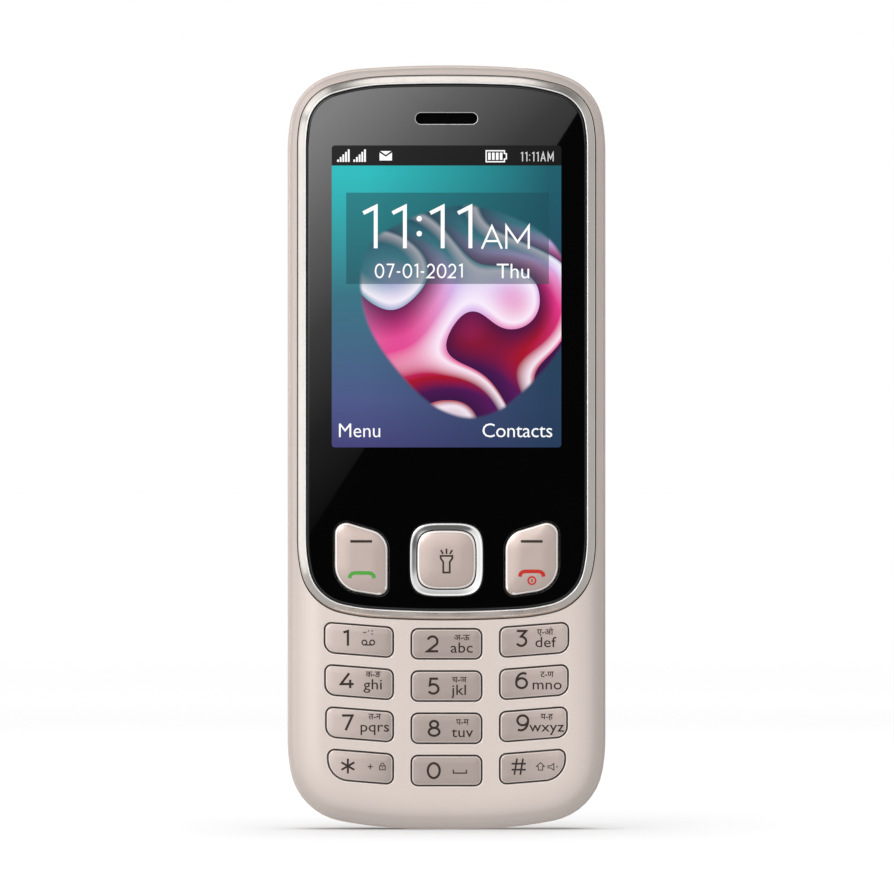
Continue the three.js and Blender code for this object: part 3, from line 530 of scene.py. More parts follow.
CHAMPAGNE = (0.735, 0.640, 0.590)
LOOKS = {
    "body": lacquer("body_lacquer", CHAMPAGNE, 0.25, 0.36, coat=0.25),
    # the keys' lacquer, with a painted sheen towards the phone's left and right sides
    "key": lacquer("key_lacquer", (0.42, 0.345, 0.313), 0.25, 0.36, sheen_colour=(0.66, 0.55, 0.51)),
    "function_key": lacquer("function_key_lacquer", (0.49, 0.40, 0.365), 0.75, 0.34, 0.000004),
    # a painted highlight: a lighter lacquer on the slanted rims of the keypad keys
    "key_rim_highlight": lacquer("key_rim_painted_highlight", (0.96, 0.86, 0.81), 0.45, 0.3),
    # a painted highlight: a lighter lacquer on the rounded mouths of the key openings in the housing
    "mouth_highlight": lacquer("key_mouth_painted_highlight", (0.90, 0.81, 0.765), 0.25, 0.3),
    # a painted highlight: bright plated metal on the slanted rims of the function keys and the centre key
    "crown_rim_highlight": plated("crown_rim_painted_highlight", (0.93, 0.89, 0.86), 0.3),
    # a painted highlight: light grey metal round the mouth of the earpiece slot in the black window
    "earpiece_rim_highlight": plated("earpiece_rim_painted_highlight", (0.75, 0.75, 0.75), 0.4),
    "ring": plated("ring_satin_plate", (0.90, 0.845, 0.795), 0.16),
    # a painted highlight: near-white metal along the bezel ring's inner lip
    "bezel_lip_highlight": plated("bezel_lip_painted_highlight", (0.99, 0.98, 0.965), 0.42),
    "chrome": plated("four_way_chrome", (0.95, 0.95, 0.94), 0.05),
    "lens": polished("window_gloss", (0.0030, 0.0030, 0.0034), 0.008),
    "legend": ink("key_ink", (0.038, 0.024, 0.019)),
    "call": ink("call_ink", (0.10, 0.42, 0.06)),
    "end": ink("end_ink", (0.62, 0.03, 0.02)),
    "steel": plated("pressed_steel", (0.58, 0.59, 0.60), 0.28, (1, 1, 14)),
    "gold": plated("gold_contact", (0.80, 0.58, 0.24), 0.2),
    "black": moulded("black_moulding", (0.016, 0.016, 0.017), 0.5),
    # the earpiece mesh's own black, made near-lightless so that the slot reads as shade: part its colour, part
    # painted shade
    "pit": moulded("earpiece_black_and_painted_shade", (0.0015, 0.0015, 0.0015), 0.9, 9000, gloss=0.05),
    "board": circuit_board("solder_mask"),
    "silicone": moulded("silicone", (0.66, 0.63, 0.58), 0.6, 3000),
    "wrap": moulded("battery_film", (0.035, 0.037, 0.042), 0.38, 1500, 0.000008),
    "clear": polished("clear_lens", (0.55, 0.58, 0.60), 0.05),
    "dark_glass": polished("camera_glass", (0.010, 0.010, 0.014), 0.03),
}


# --- Shells ---
def body_shape(grow):
    return outline(BODY, -grow)


def window_shape(grow):
    return outline(WINDOW, -grow)


def flared(bm, corners, top, bottom, flare=0.2, bright=True):
    """A cutter for an opening, whose mouth at the front is rounded and, if bright, carries a painted highlight."""
    profile = [(0, bottom), *arc(0, top + flare, flare, top, 4, "side"), (flare + 0.35, top - 0.35)]
    lofted(bm, lambda grow: rounded(grown(corners, grow)), profile, marked=range(1, 5) if bright else ())


def front_housing():
    step, wall_in = -PARTING_STEP, -PARTING_STEP - SHELL_WALL
    piece = shell("front_housing_shell",
                  [(step - 0.15, PARTING - 0.1), (step, PARTING - 0.25),
                   *arc(step, FACE + 2.6, step - 5.2, FACE, 12, "side")],
                  [*arc(wall_in - 3.5, FACE_BACK, wall_in, FACE_BACK + 1.9, 6, "face"), (wall_in, PARTING - 0.1)])
    cutters = bmesh.new()
    lofted(cutters, window_shape, [(RING_WIDTH + 0.15, -9), (RING_WIDTH + 0.15, 2)])
    for corners in KEYS.values():
        flared(cutters, corners, FACE, 2, 0.16)
    # the mouths of the key openings take a painted highlight
    return placed(weighted(carved(piece, cutters)), "root", "rose_paint", LOOKS["body"], "front_housing",
                  edge=LOOKS["mouth_highlight"])


def bezel_ring():
    bm = bmesh.new()
    profile = [(0.0, RING_BACK), (0.0, RING_LIP + 0.3), *arc(0.0, RING_LIP + 0.23, 0.17, RING_LIP, 4, "side"),
               (0.22, RING_LIP + 0.02), (0.29, RING_LIP + 0.09), (0.40, RING_LIP + 0.22), (0.55, RING_LIP + 0.38),
               (0.80, RING_LIP + 0.62), (1.05, RING_LIP + 0.86), (1.22, RING_FOOT - 0.16),
               (1.31, RING_FOOT - 0.05), (RING_WIDTH, RING_FOOT + 0.1), (RING_WIDTH, RING_BACK)]
    lofted(bm, window_shape, profile, capped=False, marked=range(2, 8))
    # the ring's inner lip takes a painted highlight
    return placed(weighted(finished(bm, "bezel_ring_plated", 50)), "root", "trim", LOOKS["ring"], "bezel_ring",
                  edge=LOOKS["bezel_lip_highlight"])


def lens():
    bm = bmesh.new()
    profile = [(-0.1, LENS_BACK), *arc(-0.1, LENS_FRONT + 0.16, -0.32, LENS_FRONT, 5, "side"), (-0.5, LENS_FRONT)]
    lofted(bm, window_shape, profile)
    piece = finished(bm, "window_lens_gloss", 50)
    cutters = bmesh.new()
    slot = rectangle(0, EARPIECE["z"], EARPIECE["width"], EARPIECE["height"], 0.86)
    flared(cutters, slot, LENS_FRONT, 0, 0.12)
    for corners in (LEFT_FUNCTION_KEY, RIGHT_FUNCTION_KEY):
        flared(cutters, grown(corners, PAD_CLEARANCE), LENS_FRONT, 0, 0.1, bright=False)
    lofted(cutters, lambda grow: squircle(0, PAD_Z, PAD_HALF + PAD_CLEARANCE + grow), [(0, -9), (0, 0)])
    # the earpiece slot's mouth takes a painted highlight
    return placed(weighted(carved(piece, cutters)), "root", "window", LOOKS["lens"], "window_lens",
                  edge=LOOKS["earpiece_rim_highlight"])


def cross_cutter(bm, points, low, high, flare=0.0):
    """A cutter that runs along Z, from points (x, y) in millimetres."""
    layers = [(low, 0.0), (high, 0.0)] if not flare else [(low, 0.0), (high - flare, 0.0), (high + 2, flare + 2)]
    cx = sum(x for x, _ in points) / len(points)
    cy = sum(y for _, y in points) / len(points)
    rings = []
    for z, grow in layers:
        loop = []
        for x, y in points:
            away = math.hypot(x - cx, y - cy)
            scale = (away + grow) / away
            loop.append(bm.verts.new(((cx + (x - cx) * scale) * MM, (cy + (y - cy) * scale) * MM, z * MM)))
        rings.append(loop)
    for a, b in zip(rings, rings[1:]):
        wall(bm, a, b)
    bm.faces.new(rings[0])
    bm.faces.new(rings[-1])


def rear_cover():
    piece = shell("rear_cover_shell",
                  [(-0.18, PARTING), (0, PARTING + 0.18), *arc(0, REAR - 3.8, -4.5, REAR, 14, "side")],
                  [*arc(-SHELL_WALL - 3.6, REAR - SHELL_WALL, -SHELL_WALL, REAR - SHELL_WALL - 3, 6, "face"),
                   (-SHELL_WALL, PARTING)])
    cutters = bmesh.new()
    for i in range(4):
        slot = rectangle(SPEAKER["x"], SPEAKER["z"] + (i - 1.5) * 1.9, 9.6, 0.9, 0.44)
        lofted(cutters, lambda grow: rounded(grown(slot, grow)),
               [(0, 5), (0, REAR - 0.15), *arc(0, REAR - 0.15, 0.15, REAR, 4, "side"), (0.5, REAR + 0.4)])
    x, z, r = CAMERA["x"], CAMERA["z"], CAMERA["window"]
    lofted(cutters, lambda grow: circle(x, z, r + grow, 64), [(-0.8, 5), (-0.8, REAR - 0.9), (0.1, REAR - 0.9),
                                                            (0.1, REAR - 0.15), (0.25, REAR), (0.6, REAR + 0.4)])
    mouth = rounded(rectangle(USB["x"], USB["y"], USB["width"], USB["height"], 1.0))
    cross_cutter(cutters, mouth, -3, 5)
    cross_cutter(cutters, circle(JACK["x"], JACK["y"], JACK["bore"]), HEIGHT - 6, HEIGHT - 0.75, 0.25)
    cross_cutter(cutters, circle(0, TORCH["y"], TORCH["radius"]), HEIGHT - 6, HEIGHT - 0.25, 0.2)
    cross_cutter(cutters, circle(MICROPHONE["x"], MICROPHONE["y"], 0.5, 16), -1, 4)
    return placed(weighted(carved(piece, cutters)), "cover", "rose_paint", LOOKS["body"], "battery_cover")


# --- Keys ---
def keypad_key(name, corners):
    bm = bmesh.new()
    edge, top = -KEY_GAP, KEY_TOP
    profile = [(edge, KEY_BACK), *arc(edge, top + 0.27, edge - 0.24, top + 0.07, 4, "side"),
               (edge - 0.5, top + 0.045), (edge - 0.75, top + 0.02), (edge - 1.0, top), (edge - 1.2, top)]
    lofted(bm, lambda grow: rounded(grown(corners, grow)), profile)
    # the key's slanted rim takes the painted highlight
    return placed(weighted(finished(bm, name + "_cap", 60)), name, "key_paint", LOOKS["key"], name,
                  edge=LOOKS["key_rim_highlight"])


def crown(edge, reach, top, rise):
    """The profile of a shallow dome that rises from edge inwards."""
    turns = [math.pi / 2 * i / CROWN_STEPS for i in range(1, CROWN_STEPS + 1)]
    return [(edge - reach * i / CROWN_STEPS, top + rise * (1 - math.sin(turn))) for i, turn in enumerate(turns, 1)]


def function_key(name, corners):
    def shape(grow):
        return rounded([(x, z, max(radius, CROWN_CORNER)) for x, z, radius in grown(corners, grow)], 10)

    bm = bmesh.new()
    top = FUNCTION_KEY_TOP
    lofted(bm, shape, [(-0.02, BIG_KEY_BACK), (-0.02, top + 0.55),
                       *arc(-0.02, top + 0.42, -0.12, top + 0.31, 3, "side"),
                       (-0.34, top + 0.21), (-0.62, top + 0.16), *crown(-0.62, 2.1, top, 0.16)])
    # the key's slanted rim takes a painted highlight
    return placed(weighted(finished(bm, name + "_cap", 60)), name, "rose_paint", LOOKS["function_key"], name,
                  edge=LOOKS["crown_rim_highlight"])


def four_way_ring():
    bm = bmesh.new()
    front, width = FOUR_WAY_FRONT, PAD_HALF - CENTRE_HALF - 0.15
    profile = [(0, FOUR_WAY_BACK), (0, front + 0.3), *arc(0, front + 0.2, -0.16, front, 4, "side"),
               (-0.22, front), (-0.30, front + 0.03), (-0.50, front + 0.145), (-0.75, front + 0.29),
               (-width, front + 0.43), (-width, FOUR_WAY_BACK)]
    lofted(bm, lambda grow: squircle(0, PAD_Z, PAD_HALF + grow), profile, capped=False)
    return placed(weighted(finished(bm, "four_way_ring_plated", 60)), "nav_cap", "trim", LOOKS["chrome"], "nav_ring")


def centre_key():
    bm = bmesh.new()
    top = CENTRE_KEY_TOP
    lofted(bm, lambda grow: squircle(0, PAD_Z, CENTRE_HALF + grow),
           [(0, BIG_KEY_BACK), (0, top + 0.5), *arc(0, top + 0.4, -0.12, top + 0.28, 4, "side"),
            (-0.31, top + 0.19), (-0.55, top + 0.14), *crown(-0.55, 2.4, top, 0.14)])
    # the key's slanted rim takes a painted highlight
    return placed(weighted(finished(bm, "centre_key_cap", 60)), "centre_key", "rose_paint", LOOKS["function_key"],
                  "centre_key", edge=LOOKS["crown_rim_highlight"])


# --- Printed marks: flat prisms that follow the surface under them ---
class Print:
    """Marks drawn in millimetres at (x, z), gathered into one mesh and laid on a surface."""

    STEP, STEPS = 0.0012, 4  # strokes that cross lie at different heights
    MITRE, RUN = 1.8, 0.3  # how far a mitre reaches back, in widths, and the length of a run

    def __init__(self, proud=0.014, sunk=0.02):
        self.bm, self.proud, self.sunk = bmesh.new(), proud, sunk
        self.strokes = 0

    def layer(self, points, y):
        return [self.bm.verts.new((x * MM, y * MM, z * MM)) for x, z in points]

    def area(self, points):
        front, back = self.layer(points, -self.proud), self.layer(points, self.sunk)
        wall(self.bm, front, back)
        self.bm.faces.new(front)
        self.bm.faces.new(back)

    def line(self, points, width, closed=False):
        """A stroke with mitred joints, in short runs that can follow a curved surface."""
        ends = [*points, points[0]] if closed else points
        points = [ends[0]]
        for (ax, az), (bx, bz) in zip(ends, ends[1:]):
            length = math.dist((ax, az), (bx, bz))
            clear = self.MITRE * width / length
            runs = max(1, round((length - 2 * self.MITRE * width) / self.RUN))
            if clear < 0.4:
                at = [clear + (1 - 2 * clear) * i / runs for i in range(runs + 1)]
                points += [(ax + (bx - ax) * t, az + (bz - az) * t) for t in at]
            points.append((bx, bz))
        if closed:
            points.pop()
        count, left, right = len(points), [], []
        for i, (x, z) in enumerate(points):
            before = points[i - 1] if i or closed else None
            after = points[(i + 1) % count] if i < count - 1 or closed else None
            sides = [math.atan2(b[1] - a[1], b[0] - a[0])
                     for a, b in ((before, (x, z)), ((x, z), after)) if a and b]
            along = math.atan2(sum(map(math.sin, sides)), sum(map(math.cos, sides)))
            reach = width / 2 / max(0.3, math.cos(along - sides[0]))
            left.append((x - reach * math.sin(along), z + reach * math.cos(along)))
            right.append((x + reach * math.sin(along), z - reach * math.cos(along)))
        self.strokes += 1
        front = -self.proud - self.STEP * (self.strokes % self.STEPS)
        loops = [self.layer(loop, y) for y in (front, self.sunk) for loop in (left, right)]
        for a, b in ((0, 1), (1, 3), (3, 2), (2, 0)):
            a, b = loops[a], loops[b]
            for i in range(count if closed else count - 1):
                j = (i + 1) % count
                self.bm.faces.new((a[i], a[j], b[j], b[i]))
        if not closed:
            for i in (0, -1):
                self.bm.faces.new([loops[k][i] for k in (0, 1, 3, 2)])

    def text(self, words, x, z, height, thin=0.0, align="CENTER", spacing=1.0, wide=1.0):
        """Words in the built-in face; height is that of a capital, and z is the baseline."""
        holder = written(words, size=height / CAPITAL, align_x=align, offset=thin, space_character=spacing,
                         resolution_u=3)
        mesh = bpy.data.meshes.new_from_object(holder.evaluated_get(bpy.context.evaluated_depsgraph_get()))
        flat = bmesh.new()
        flat.from_mesh(mesh)
        bmesh.ops.remove_doubles(flat, verts=flat.verts, dist=1e-5)
        layers = [{v: self.bm.verts.new(((x + v.co.x * wide) * MM, y * MM, (z + v.co.y) * MM)) for v in flat.verts}
                  for y in (-self.proud, self.sunk)]
        for face in flat.faces:
            for made in layers:
                self.bm.faces.new([made[v] for v in face.verts])
        for edge in flat.edges:
            if edge.is_boundary:
                a, b = edge.verts
                self.bm.faces.new((layers[0][a], layers[0][b], layers[1][b], layers[1][a]))
        flat.free()
        bpy.data.meshes.remove(mesh)
        bpy.data.curves.remove(holder.data)

    def lay(self, name, surface, body, slot, look):
        """Drops every mark along Y onto surface, or onto the depth it gives, and makes the piece."""
        tree = None
        if not isinstance(surface, float):
            tree = BVHTree.FromObject(surface, bpy.context.evaluated_depsgraph_get())
        for v in self.bm.verts:
            v.co.y += depth_under(tree, v.co.x, v.co.z) if tree else surface * MM
        return placed(finished(self.bm, name, 30), body, slot, look)


def depth_under(tree, x, z):
    """The depth of the surface in front of (x, z); a ray that slips between two faces is moved aside a little."""
    for aside in (0.0, 2e-6, -3e-6, 5e-6):
        hit = tree.ray_cast(Vector((x + aside, -0.05, z + aside / 3)), Vector((0, 1, 0)))[0]
        if hit:
            return hit.y
    raise ValueError(f"no surface under a mark at {x / MM:.2f}, {z / MM:.2f}")


def written(words, **settings):
    """A text object in the built-in face."""
    curve = bpy.data.curves.new("words", "FONT")
    curve.body = words
    for key, value in settings.items():
        setattr(curve, key, value)
    holder = bpy.data.objects.new("words", curve)
    scene.collection.objects.link(holder)
    bpy.context.view_layer.update()
    return holder


measure = written("H")
CAPITAL = measure.dimensions.y
bpy.data.curves.remove(measure.data)


def sweep(cx, cz, radius, start, end, steps=16, squash=1.0):
    """Points on an arc from start to end, in degrees."""
    return [(cx + radius * math.cos(math.radians(start + (end - start) * i / steps)),
             cz + squash * radius * math.sin(math.radians(start + (end - start) * i / steps)))
            for i in range(steps + 1)]


def handset(made, x, z, width):
    """A receiver lying face down: a flat back with two bent ends."""
    half = width / 2
    right = [(x + half + 0.02, z - 0.78), (x + half - 0.08, z - 0.32), (x + half - 0.42, z - 0.02),
             (x + half - 0.85, z + 0.08)]
    made.line(right + [(2 * x - across, up) for across, up in right[::-1]], 0.60)


# Figures as the paths of a pen, one unit high
FIGURES = {
    "0": [sweep(0.40, 0.5, 0.40, 90, -260, 34, 1.25)],
    "1": [[(0.0, 0.90), (0.30, 1.0), (0.30, 0.0)]],
    "2": [[*sweep(0.34, 0.67, 0.33, 160, -38, 16), (0.0, 0.0), (0.72, 0.0)]],
    "3": [[(0.04, 1.0), (0.66, 1.0), (0.33, 0.62), *sweep(0.34, 0.305, 0.33, 78, -150, 18, 0.93)]],
    "4": [[(0.56, 1.0), (0.0, 0.27), (0.86, 0.27)], [(0.63, 0.56), (0.63, 0.0)]],
    "5": [[(0.64, 1.0), (0.14, 1.0), (0.09, 0.56), *sweep(0.32, 0.31, 0.35, 112, -150, 18, 0.9)]],
    "6": [sweep(0.37, 0.33, 0.36, 90, -255, 30, 0.92), sweep(0.50, 0.36, 0.49, 66, 176, 14, 1.31)],
    "7": [[(0.0, 1.0), (0.70, 1.0), (0.24, 0.0)]],
    "8": [sweep(0.36, 0.765, 0.27, 90, -255, 24, 0.87), sweep(0.36, 0.265, 0.36, 90, -255, 28, 0.736)],
    "9": [[(0.73 - x, 1 - z) for x, z in path] for path in
          (sweep(0.37, 0.33, 0.36, 90, -255, 30, 0.92), sweep(0.50, 0.36, 0.49, 66, 176, 14, 1.31))],
    "-": [[(0.0, 0.42), (0.36, 0.42)]],
    ":": [[(0.0, 0.10), (0.0, 0.22)], [(0.0, 0.64), (0.0, 0.76)]],
    "A": [[(0.0, 0.0), (0.41, 1.0), (0.82, 0.0)], [(0.16, 0.34), (0.66, 0.34)]],
    "M": [[(0.0, 0.0), (0.0, 1.0), (0.46, 0.30), (0.92, 1.0), (0.92, 0.0)]],
}
LOOPS = "0689"


def figures(made, words, x, z, height, pen, wide=1.0, gap=0.3, align="CENTER"):
    """Figures drawn with a pen; z is the baseline, and gap is the space between them in units of the height."""
    scale = height - pen
    widths = [max(px for path in FIGURES[c] for px, _ in path) * wide for c in words]
    total = sum(widths) + gap * (len(words) - 1)
    at = x - scale * {"LEFT": 0.0, "CENTER": total / 2, "RIGHT": total}[align]
    for c, width in zip(words, widths):
        for i, path in enumerate(FIGURES[c]):
            points = [(at + px * wide * scale, z + pen / 2 + pz * scale) for px, pz in path]
            made.line(points, pen, closed=c in LOOPS and (i == 0 or c == "8"))
        at += (width + gap) * scale


DIGIT_HEIGHT = 2.75
LETTER_HEIGHT = 1.62  # of a capital: the lower-case letters are two thirds of it
MARK_HEIGHT = 0.92
LEGENDS = {  # the figure and its middle, the middle of the letters, the letters, and the Hindi ones above them
    "key_1": ("1", -16.2, 0.0, "", ""),
    "key_2": ("2", -2.2, 2.45, "abc", "अ-ऊ"),
    "key_3": ("3", 12.0, 15.85, "def", "ए-औ"),
    "key_4": ("4", -15.95, -11.8, "ghi", "क-ङ"),
    "key_5": ("5", -2.1, 2.05, "jkl", "च-ञ"),
    "key_6": ("6", 12.05, 16.15, "mno", "ट-ण"),
    "key_7": ("7", -15.95, -11.55, "pqrs", "त-न"),
    "key_8": ("8", -2.0, 2.55, "tuv", "प-म"),
    "key_9": ("9", 12.25, 16.1, "wxyz", "य-ह"),
    "key_star": ("", -15.85, 0.0, "", ""),
    "key_0": ("0", -2.05, 0.0, "", ""),
    "key_hash": ("", 11.6, 0.0, "", ""),
}


def key_legend(name):
    z = sum(corner[1] for corner in KEYS[name]) / 4
    figure, x, side_x, letters, marks = LEGENDS[name]
    side = abs(x) > 5
    lift = 0.25 if side else 0.0
    made = Print(sunk=0.12)
    if figure:
        figures(made, figure, x, z + lift - DIGIT_HEIGHT / 2, DIGIT_HEIGHT, 0.37)
    if name == "key_1":
        for reel in (-13.2, -11.95):  # the two reels of the voicemail sign
            made.line(sweep(reel, z - 0.42, 0.38, 0, 345, 23), 0.21, closed=True)
        made.line([(-13.2, z - 0.8), (-11.95, z - 0.8)], 0.21)
        made.line(sweep(-13.15, z + 1.45, 0.3, 200, 340, 6), 0.13)
        made.area(circle(-12.5, z + 1.45, 0.11, 8))
        for dot in (0.95, 1.45):
            made.area(circle(-11.95, z + dot, 0.12, 8))
    elif name == "key_star":
        for turn in (90, 30, -30):
            at = math.radians(turn)
            dx, dz = 1.2 * math.cos(at), 1.2 * math.sin(at)
            made.line([(x - dx, z + 0.1 - dz), (x + dx, z + 0.1 + dz)], 0.32)
        made.line([(-12.65, z), (-11.85, z)], 0.15)
        made.line([(-12.25, z - 0.4), (-12.25, z + 0.4)], 0.15)
        made.line([(-10.75, z - 0.5), (-10.75, z + 0.12), (-9.85, z + 0.12), (-9.85, z - 0.5)], 0.15, closed=True)
        made.line([(-10.55, z + 0.16), *sweep(-10.3, z + 0.35, 0.25, 180, 0, 8), (-10.05, z + 0.16)], 0.13)
        made.line([(-10.3, z - 0.32), (-10.3, z - 0.08)], 0.13)
    elif name == "key_hash":
        for shift in (-0.48, 0.48):
            made.line([(x + shift - 0.22, z - 1.3), (x + shift + 0.22, z + 1.3)], 0.28)
            made.line([(x - 1.15, z + shift), (x + 1.15, z + shift)], 0.28)
        made.line([(14.75, z - 0.55), (14.75, z + 0.05), (14.45, z + 0.05), (15.1, z + 0.65), (15.75, z + 0.05),
                   (15.45, z + 0.05), (15.45, z - 0.55)], 0.14, closed=True)
        made.line([(16.3, z - 0.2), (16.3, z + 0.15), (16.75, z + 0.15), (17.25, z + 0.5), (17.25, z - 0.55),
                   (16.75, z - 0.2)], 0.14, closed=True)
        made.area(circle(17.75, z, 0.12, 8))
    elif name == "key_0":
        made.line([(1.1, z + 0.15), (1.1, z - 0.4), (3.2, z - 0.4), (3.2, z + 0.15)], 0.2)
    if letters:
        made.text(letters, side_x, z + lift - 1.4, LETTER_HEIGHT, 0.010, spacing=1.02, wide=1.12)
        made.text(marks, side_x, z + lift + 0.6, MARK_HEIGHT, 0.020)
    made.lay(name + "_legend", KEY_TOP, name, "key_paint", LOOKS["legend"])


def function_legends(left, right, centre):
    for side, piece, name in ((-1, left, "left"), (1, right, "right")):
        made = Print()
        x = side * FUNCTION_KEY_X
        made.line([(x - 1.75, PAD_Z + 2.95), (x + 1.75, PAD_Z + 2.95)], 0.42)
        made.lay(name + "_function_dash", piece, name + "_function_key", "key_paint", LOOKS["legend"])
    made = Print()
    handset(made, -FUNCTION_KEY_X + 0.1, PAD_Z - 2.2, 3.9)
    made.lay("call_sign", left, "left_function_key", "key_paint", LOOKS["call"])
    made = Print()
    handset(made, FUNCTION_KEY_X, PAD_Z - 1.95, 3.8)
    made.line(sweep(FUNCTION_KEY_X + 0.02, PAD_Z - 3.35, 0.60, 0, 360, 24)[:-1], 0.27, closed=True)
    made.line([(FUNCTION_KEY_X + 0.02, PAD_Z - 3.58), (FUNCTION_KEY_X + 0.02, PAD_Z - 3.12)], 0.28)
    made.lay("end_sign", right, "right_function_key", "key_paint", LOOKS["end"])
    made = Print()
    for ray in (-1, 0, 1):
        made.line([(ray * 0.55, PAD_Z + 0.92), (ray * 0.92, PAD_Z + 1.78 - abs(ray) * 0.22)], 0.28)
    made.line([(-0.95, PAD_Z + 0.62), (0.95, PAD_Z + 0.62), (0.92, PAD_Z + 0.2), (0.52, PAD_Z - 0.35),
               (0.52, PAD_Z - 2.05), (-0.52, PAD_Z - 2.05), (-0.52, PAD_Z - 0.35), (-0.92, PAD_Z + 0.2)],
              0.29, closed=True)
    made.lay("torch_sign", centre, "centre_key", "key_paint", LOOKS["legend"])


# --- Display ---
def lit(name, rough, base):
    """A surface that shines by itself, and hardly takes any light."""
    return Look(name, Roughness=rough, Emission_Strength=1.0, Base_Color=(base, base, base, 1))


def glow(name, level):
    """A lit white mark on the display, with the faint unevenness of its backlight."""
    look = lit(name, 0.3, 0.02)
    look.link(look.clouded((level,) * 3, 120, 0.97), look.shader.inputs["Emission Color"])
    return look.material


def wallpaper(name):
    """Smooth folds of rose, violet and teal behind a dark clock panel and a dark status bar."""
    look = lit(name, 0.05, 0.004)
    look.set("Specular IOR Level", 0.04)
    centre = look.node("ShaderNodeMapping")  # X and Z in units of the display's width, from its centre
    width = (SCREEN["right"] - SCREEN["left"]) * MM
    middle = (SCREEN["top"] + SCREEN["bottom"]) / 2 * MM
    centre.inputs["Location"].default_value = (0, 0, -middle / width)
    centre.inputs["Scale"].default_value = (1 / width, 0, 1 / width)
    look.link(look.place, centre.inputs["Vector"])
    at = centre.outputs["Vector"]
    x, _, z = look.axes(at)
    sea = look.ramp(z * 0.75 + 0.5, (0.0, (0.060, 0.055, 0.19)), (0.16, (0.075, 0.10, 0.25)),
                    (0.5, (0.040, 0.17, 0.23)), (0.9, (0.022, 0.50, 0.51)))
    sea = look.mix(look.ramp(x + 0.5, (0.15, 0.0), (0.95, 0.85)), sea, (0.012, 0.042, 0.085))

    warp = look.node("ShaderNodeTexNoise")
    warp.inputs["Scale"].default_value, warp.inputs["Detail"].default_value = 1.9, 0.0
    look.link(at, warp.inputs["Vector"])
    bend = look.node("ShaderNodeVectorMath", operation="MULTIPLY_ADD")
    bend.inputs[1].default_value = (1.25, 0.0, 1.25)
    look.link(warp.outputs["Color"], bend.inputs[0])
    look.link(at, bend.inputs[2])
    folds = look.node("ShaderNodeTexWave", wave_type="RINGS", rings_direction="Y", wave_profile="SAW")
    for key, value in (("Scale", 0.95), ("Distortion", 1.6), ("Detail", 0.0), ("Detail Scale", 1.3)):
        folds.inputs[key].default_value = value
    look.link(bend.outputs["Vector"], folds.inputs["Vector"])
    fold = Wire(look.tree, folds.outputs["Fac"])
    height = z - x * 0.25 + (fold - 0.5) * 0.30
    silk = look.ramp(height + 0.5, (0.02, (0.09, 0.008, 0.10)), (0.18, (0.40, 0.006, 0.02)),
                     (0.34, (0.80, 0.04, 0.26)), (0.48, (0.80, 0.30, 0.62)), (0.58, (0.66, 0.50, 0.88)),
                     (0.72, (0.10, 0.34, 0.42)), (0.90, (0.02, 0.10, 0.16)))
    silk = look.mix(look.ramp(fold, (0.0, 0.86), (0.45, 0.05), (1.0, 0.0)), silk, (0.035, 0.006, 0.055))
    silk = look.mix(look.ramp(fold, (0.62, 0.0), (0.90, 0.88), (0.985, 0.1)), silk, (0.98, 0.90, 1.0))
    off_x, off_z = x - 0.09, z + 0.05
    reach = x.worked("SQRT", off_x * off_x + off_z * off_z)
    wavy = reach + (Wire(look.tree, warp.outputs["Fac"]) - 0.5) * 0.22
    picture = look.mix(look.ramp(wavy, (0.455, 1.0), (0.470, 0.0)), sea, silk)

    clock = (x > -0.437) * (x < 0.446) * ((z > 0.054) * (z < 0.452))
    picture = look.mix(clock * 0.62, picture, (0.012, 0.075, 0.10))
    picture = look.mix(z > 0.570, picture, (0.0085, 0.0085, 0.0085))
    look.link(picture, look.shader.inputs["Emission Color"])
    return look.material


def at_dot(column, row):
    """Display positions are laid out on a 240 by 320 grid from its upper left corner, as the panel's own dots are."""
    across = (SCREEN["right"] - SCREEN["left"]) / 240
    down = (SCREEN["top"] - SCREEN["bottom"]) / 320
    return SCREEN["left"] + column * across, SCREEN["top"] - row * down


